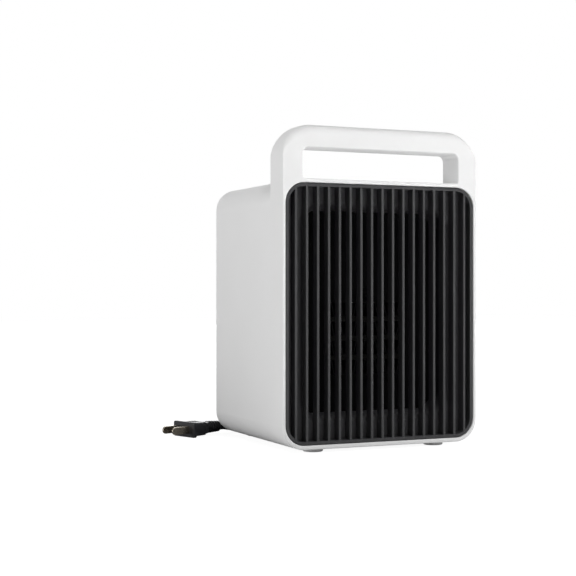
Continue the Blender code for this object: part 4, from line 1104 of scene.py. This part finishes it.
class HEATER_OT_controls(bpy.types.Operator):
    """Models the panel on the top with its two push buttons and pilot light"""

    bl_idname = "heater.controls"
    bl_label = "Controls"

    def execute(self, context):
        low = Vector(PANEL_LOW)
        high = PANEL_HIGH
        low.z = high.z - 1.6 * MM
        panel = block("top_panel", low, high)
        round_edges(panel, along(2), PANEL_CORNER, 8)
        middle_y = (low.y + high.y) / 2
        for name, box_low, box_high, body in (
            ("power_button", POWER_LOW, POWER_HIGH, "power_key"),
            ("heat_button", HEAT_LOW, HEAT_HIGH, "heat_key"),
        ):
            middle = (box_low + box_high) / 2
            carve(panel, post("hole", 6.3 * MM, middle, low.z - OVERRUN, high.z + OVERRUN))
            self.make_button(name, middle, box_high.z, body)
        light = Vector((0, middle_y, 0))
        carve(panel, post("light_seat", 1.6 * MM, light, high.z - 0.5 * MM, high.z + OVERRUN, 32))
        round_edges(panel, lying_at(2, high.z), 0.25 * MM, 2)
        finished(panel, "moulded_grey_abs", nodes=("control_panel",))
        lens_top = high.z + 0.15 * MM
        lens = post("pilot_light", 1.35 * MM, light, high.z - 0.45 * MM, lens_top, 32)
        round_edges(lens, lying_at(2, lens_top), 0.3 * MM, 3)
        finished(lens, "moulded_red_acrylic")
        return {"FINISHED"}

    def make_button(self, name, middle, top, body):
        """A round key with a softly dished top, and its mark raised a hair above it."""
        radius = 6
        skirt = -4
        profile = [(0, -0.35), (2.5, -0.3), (4.6, -0.08), (5.3, 0), (5.75, -0.14), (5.95, -0.5)]
        profile += [(radius, -0.9), (radius, skirt), (0, skirt)]
        key = turned(name + "_cap", profile, (middle.x, middle.y, top), (0, 0, 1), 64)
        finished(key, "moulded_white_abs", nodes=(name,), body=body, angle=45)
        low = top - 0.34 * MM
        high = low + 0.12 * MM
        make_mark = self.power_mark if name == "power_button" else self.heat_mark
        finished(make_mark(name + "_mark", middle, low, high), "printed_grey_ink", body=body)

    def power_mark(self, name, middle, low, high):
        """An open ring with an upright bar."""
        ring = post(name, 1.9 * MM, middle, low, high)
        carve(ring, post("hole", 1.5 * MM, middle, low - OVERRUN, high + OVERRUN))
        gap_half = 0.65 * MM
        gap_low = (middle.x - gap_half, middle.y + 0.6 * MM, low - OVERRUN)
        carve(ring, block("gap", gap_low, (middle.x + gap_half, middle.y + 3 * MM, high + OVERRUN)))
        bar_half = 0.2 * MM
        bar_low = (middle.x - bar_half, middle.y + 0.3 * MM, low)
        bar = block("bar", bar_low, (middle.x + bar_half, middle.y + 2.3 * MM, high))
        return joined(ring, bar)

    def heat_mark(self, name, middle, low, high):
        """Three upright bars, the middle one longest."""
        half = 0.2 * MM
        bars = []
        for bar_name, across, reach in ((name, -1.1, 1.3), ("bar", 0, 1.9), ("bar", 1.1, 1.3)):
            x = middle.x + across * MM
            y = middle.y
            bar = block(bar_name, (x - half, y - reach * MM, low), (x + half, y + reach * MM, high))
            bars.append(bar)
        return joined(*bars)


class HEATER_OT_feet(bpy.types.Operator):
    """Models the four rubber feet"""

    bl_idname = "heater.feet"
    bl_label = "Feet"

    def execute(self, context):
        for name in FEET:
            node = "foot_" + name
            low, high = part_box(node)
            foot = post(node + "_pad", FOOT_RADIUS, (low + high) / 2, low.z, high.z, 64)
            round_edges(foot, lying_at(2, low.z), 1 * MM, 4)
            finished(foot, "moulded_grey_rubber", nodes=(node,))
        return {"FINISHED"}


class HEATER_OT_finishes(bpy.types.Operator):
    """Makes every material, and gives the pieces left in the frame theirs"""

    bl_idname = "heater.finishes"
    bl_label = "Finishes"

    def execute(self, context):
        colours = context.scene.heater_colours
        white = linear(colours.white)
        black = linear(colours.black)
        # ABS moulded in a finely eroded tool: an almost even white, with hardly a highlight
        moulded("moulded_white_abs", white, roughness=0.7, grain=0.35, relief=0.008, shade=0.008)
        # PBT moulded in a lightly eroded tool: a grey sheen along edges that face the light
        moulded("moulded_black_pbt", black, roughness=0.42, relief=0.012, shade=0.06)
        # PBT moulded in a coarser tool: the funnel stays dull, so that the slats stand out before it
        moulded("coarse_moulded_black_pbt", black, roughness=0.6, grain=0.5, relief=0.02, shade=0.06)
        # ABS moulded in grey: a satin plate, a little smoother than the casing round it
        moulded("moulded_grey_abs", linear(colours.panel), roughness=0.55, relief=0.01, shade=0.02)
        # Plasticised PVC, extruded and overmoulded: a soft line of light along the cord and its ribs
        moulded("extruded_black_pvc", linear(colours.cord), roughness=0.4, grain=0.4, shade=0.02)
        # Rubber from a blasted mould: dull, with no highlight of its own
        moulded(
            "moulded_grey_rubber", linear(colours.foot), roughness=0.75, grain=0.25, relief=0.02, shade=0.06
        )
        # Nylon from a polished tool: the switch mirrors the lamps as small sharp lights
        moulded("polished_black_nylon", linear("#141415"), roughness=0.22)
        # Pad-printed ink: flat and even, without a shine
        moulded("printed_white_ink", linear("#DADADA"), roughness=0.5)
        moulded("printed_grey_ink", linear("#7C7E82"), roughness=0.5)
        # Acrylic moulded in red: a dark glossy bead
        moulded("moulded_red_acrylic", linear("#7D1710"), roughness=0.12)
        # Steel with a zinc coat: greyish, its highlight broken by fine marks
        drawn_metal("zinc_plated_steel", linear("#B9BABC"), roughness=0.32, line=0.4, stretch=(1, 1, 1))
        # Drawn brass strip with a nickel coat: warm and bright, with lines along the blades
        drawn_metal(
            "nickel_plated_strip", linear("#CFC6B4"), roughness=0.24, line=0.25, stretch=(0.08, 1, 1)
        )
        # Rolled aluminium strip, folded into fins. Its dark colour is painted shade, as it shows only in
        # deep shade
        drawn_metal("rolled_aluminium", linear("#1E1E1F"), roughness=0.55, line=0.3, stretch=(1, 0.1, 1))
        # Glass-filled nylon of the fan and its chassis: a dull dark grey
        moulded("moulded_dark_nylon", linear("#1A1A1B"), roughness=0.5)
        # Phenolic resin, pressed: nearly black, and takes hardly any light
        moulded("pressed_black_phenolic", linear("#0B0B0B"), roughness=0.9, specular=0.05)
        # Sintered oxide ceramic of the heating bars: black with a trace of brown, fully dull
        moulded("sintered_dark_ceramic", linear("#141413"), roughness=0.9, specular=0.05)
        # Fired steatite of the terminal block: a pale unglazed stone
        moulded("fired_pale_ceramic", linear("#C8C2B4"), roughness=0.6)
        # Epoxy board under a printed solder mask: a clear green with some shine
        moulded("masked_green_epoxy", linear("#17502C"), roughness=0.35)
        # PVC extruded over the wires: bright and slightly waxy
        moulded("extruded_red_pvc", linear("#B0201A"), roughness=0.45)
        moulded("extruded_blue_pvc", linear("#2147A8"), roughness=0.45)
        kept = {
            "moulded_dark_nylon": (
                "fan_chassis",
                "fan_impeller",
                "button_switch_1",
                "button_switch_2",
                "tip_over_switch",
            ),
            "pressed_black_phenolic": ("heater_frame", "thermal_fuse"),
            "rolled_aluminium": ("heater_fins_1", "heater_fins_2", "heater_fins_3", "heater_fins_4"),
            "sintered_dark_ceramic": ("ptc_bar_1", "ptc_bar_2", "ptc_bar_3"),
            "fired_pale_ceramic": ("terminal_block",),
            "zinc_plated_steel": (
                "motor_shaft",
                "motor_body",
                "motor_screw_1",
                "motor_screw_2",
                "thermostat",
            ),
            "masked_green_epoxy": ("control_board",),
            "extruded_red_pvc": ("wire_live", "wire_board"),
            "extruded_blue_pvc": ("wire_neutral",),
        }
        for material, names in kept.items():
            for name in names:
                shape = frame["nodes"][name].data
                shape.materials.clear()
                shape.materials.append(bpy.data.materials[material])
        return {"FINISHED"}


class HEATER_OT_stage(bpy.types.Operator):
    """Sets the white studio: world, floor, lamps and camera"""

    bl_idname = "heater.stage"
    bl_label = "Studio"

    def execute(self, context):
        self.make_world(context)
        choose()
        bpy.ops.mesh.primitive_plane_add(size=8)
        floor = named("studio_floor")
        floor.data.materials.append(self.floor_finish())
        # Each lamp: its place, what it looks at, its size, its power in watts, its spread in degrees
        for name, place, aim, size, power, spread in (
            ("key_lamp", (0.5, -1.9, 3.0), (0, 0, 0.12), 1.6, 41, 180),
            ("right_lamp", (2.8, -0.7, 0.7), (0, 0, 0.12), 1.2, 21, 180),
            ("back_lamp", (1.3, 2.8, 0.9), (0, 0, 0.12), 1.6, 28, 180),
            ("side_lamp", (-3.0, 0.2, 0.5), (0, 0, 0.1), 1.8, 46, 180),
            ("floor_lamp", (0.3, -1.2, 1.0), (0.3, -1.15, 0), 1.0, 16, 80),
        ):
            bpy.ops.object.light_add(type="AREA", location=place)
            lamp = context.object
            lamp.name = name
            lamp.data.shape = "SQUARE"
            lamp.data.size = size
            lamp.data.energy = power
            lamp.data.spread = math.radians(spread)
            lamp.rotation_euler = (Vector(aim) - Vector(place)).to_track_quat("-Z", "Y").to_euler()
        self.place_camera(context)
        context.scene.view_settings.view_transform = "Standard"
        return {"FINISHED"}

    def place_camera(self, context):
        """A level camera, turned to the right, that sees the heater as the photograph does."""
        settings = context.scene.heater_studio
        bpy.ops.object.camera_add(
            location=settings.camera_place, rotation=(math.pi / 2, 0, -settings.camera_turn)
        )
        camera = context.object
        camera.name = "photo_camera"
        camera.data.lens = settings.lens
        camera.data.sensor_width = 36
        # A third of a pixel and a little over one, which the photograph's crop is off by
        camera.data.shift_x = -0.0006
        camera.data.shift_y = -0.0022
        camera.data.clip_start = 0.01
        camera.data.dof.use_dof = False
        context.scene.camera = camera

    def make_world(self, context):
        """A sky that lights the heater as a dim grey one, and that the camera sees as white."""
        dim = 0.23
        world = bpy.data.worlds.new("studio_world")
        context.scene.world = world
        world.use_nodes = True
        tree = world.node_tree
        tree.nodes.clear()
        path = add(tree, "ShaderNodeLightPath")
        seen = add(
            tree,
            "ShaderNodeMath",
            {"operation": "MAXIMUM"},
            i0=path.outputs["Is Camera Ray"],
            i1=path.outputs["Is Transmission Ray"],
        )
        level = add(tree, "ShaderNodeMapRange", Value=seen.outputs[0], To_Min=dim, To_Max=1.0)
        sky = add(tree, "ShaderNodeBackground", Color=(1, 1, 1, 1), Strength=level.outputs["Result"])
        add(tree, "ShaderNodeOutputWorld", Surface=sky.outputs[0])

    def floor_finish(self):
        """White paper, which glows for the camera alone and takes the heater's soft shadow.

        Round the heater's rear half it throws less light back, through a painted shade in its colour, as
        the real one does in the shade under and behind it, and from there outwards more.
        """
        shade_middle = (-0.05, 0.12, 0)
        shade_reach = 0.1
        light_reach = 0.26
        made = bpy.data.materials.new("matt_white_paper")
        made.use_nodes = True
        tree = made.node_tree
        tree.nodes.clear()
        path = add(tree, "ShaderNodeLightPath")
        paper = add(tree, "ShaderNodeBsdfDiffuse", Color=(0.25, 0.25, 0.25, 1))
        glow = add(tree, "ShaderNodeEmission", Color=(1, 1, 1, 1), Strength=0.93)
        shown = add(tree, "ShaderNodeAddShader", i0=paper.outputs[0], i1=glow.outputs[0])
        place = add(tree, "ShaderNodeTexCoord").outputs["Object"]
        away = add(tree, "ShaderNodeVectorMath", {"operation": "DISTANCE"}, i0=place, i1=shade_middle)
        # Painted shade: the paper's colour for bounced light, dark round the heater's rear half and pale
        # further out
        painted_shade_bounce = add(
            tree,
            "ShaderNodeMapRange",
            Value=away.outputs["Value"],
            From_Min=shade_reach,
            From_Max=light_reach,
            To_Min=0.22,
            To_Max=0.95,
        )
        thrown = add(tree, "ShaderNodeBsdfDiffuse", Color=painted_shade_bounce.outputs["Result"])
        both = add(
            tree,
            "ShaderNodeMixShader",
            Fac=path.outputs["Is Camera Ray"],
            i1=thrown.outputs[0],
            i2=shown.outputs[0],
        )
        add(tree, "ShaderNodeOutputMaterial", Surface=both.outputs[0])
        return made


# In the order in which they run: the plug comes after the cord, as it ends it
PIECES = (
    HEATER_OT_finishes,
    HEATER_OT_stage,
    HEATER_OT_cord,
    HEATER_OT_plug,
    HEATER_OT_housing,
    HEATER_OT_grille,
    HEATER_OT_duct,
    HEATER_OT_rear,
    HEATER_OT_controls,
    HEATER_OT_feet,
)


class HEATER_PT_sidebar(bpy.types.Panel):
    """The sizes, the colours and one button for each group of pieces"""

    bl_idname = "HEATER_PT_sidebar"
    bl_label = "Fan heater"
    bl_space_type = "VIEW_3D"
    bl_region_type = "UI"
    bl_category = "Heater"

    def draw(self, context):
        scene = context.scene
        for settings in (scene.heater_sizes, scene.heater_colours, scene.heater_studio):
            for name in settings.__annotations__:
                self.layout.prop(settings, name)
        for piece in PIECES:
            self.layout.operator(piece.bl_idname)


CLASSES = (HeaterSizes, HeaterColours, StudioSettings, *PIECES, HEATER_PT_sidebar)


def register():
    for item in CLASSES:
        bpy.utils.register_class(item)
    bpy.types.Scene.heater_sizes = PointerProperty(type=HeaterSizes)
    bpy.types.Scene.heater_colours = PointerProperty(type=HeaterColours)
    bpy.types.Scene.heater_studio = PointerProperty(type=StudioSettings)


def unregister():
    del bpy.types.Scene.heater_studio
    del bpy.types.Scene.heater_colours
    del bpy.types.Scene.heater_sizes
    for item in reversed(CLASSES):
        bpy.utils.unregister_class(item)


def main():
    """Registers the add-on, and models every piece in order."""
    register()
    for piece in PIECES:
        group, name = piece.bl_idname.split(".")
        getattr(getattr(bpy.ops, group), name)()


if __name__ == "__main__":
    main()
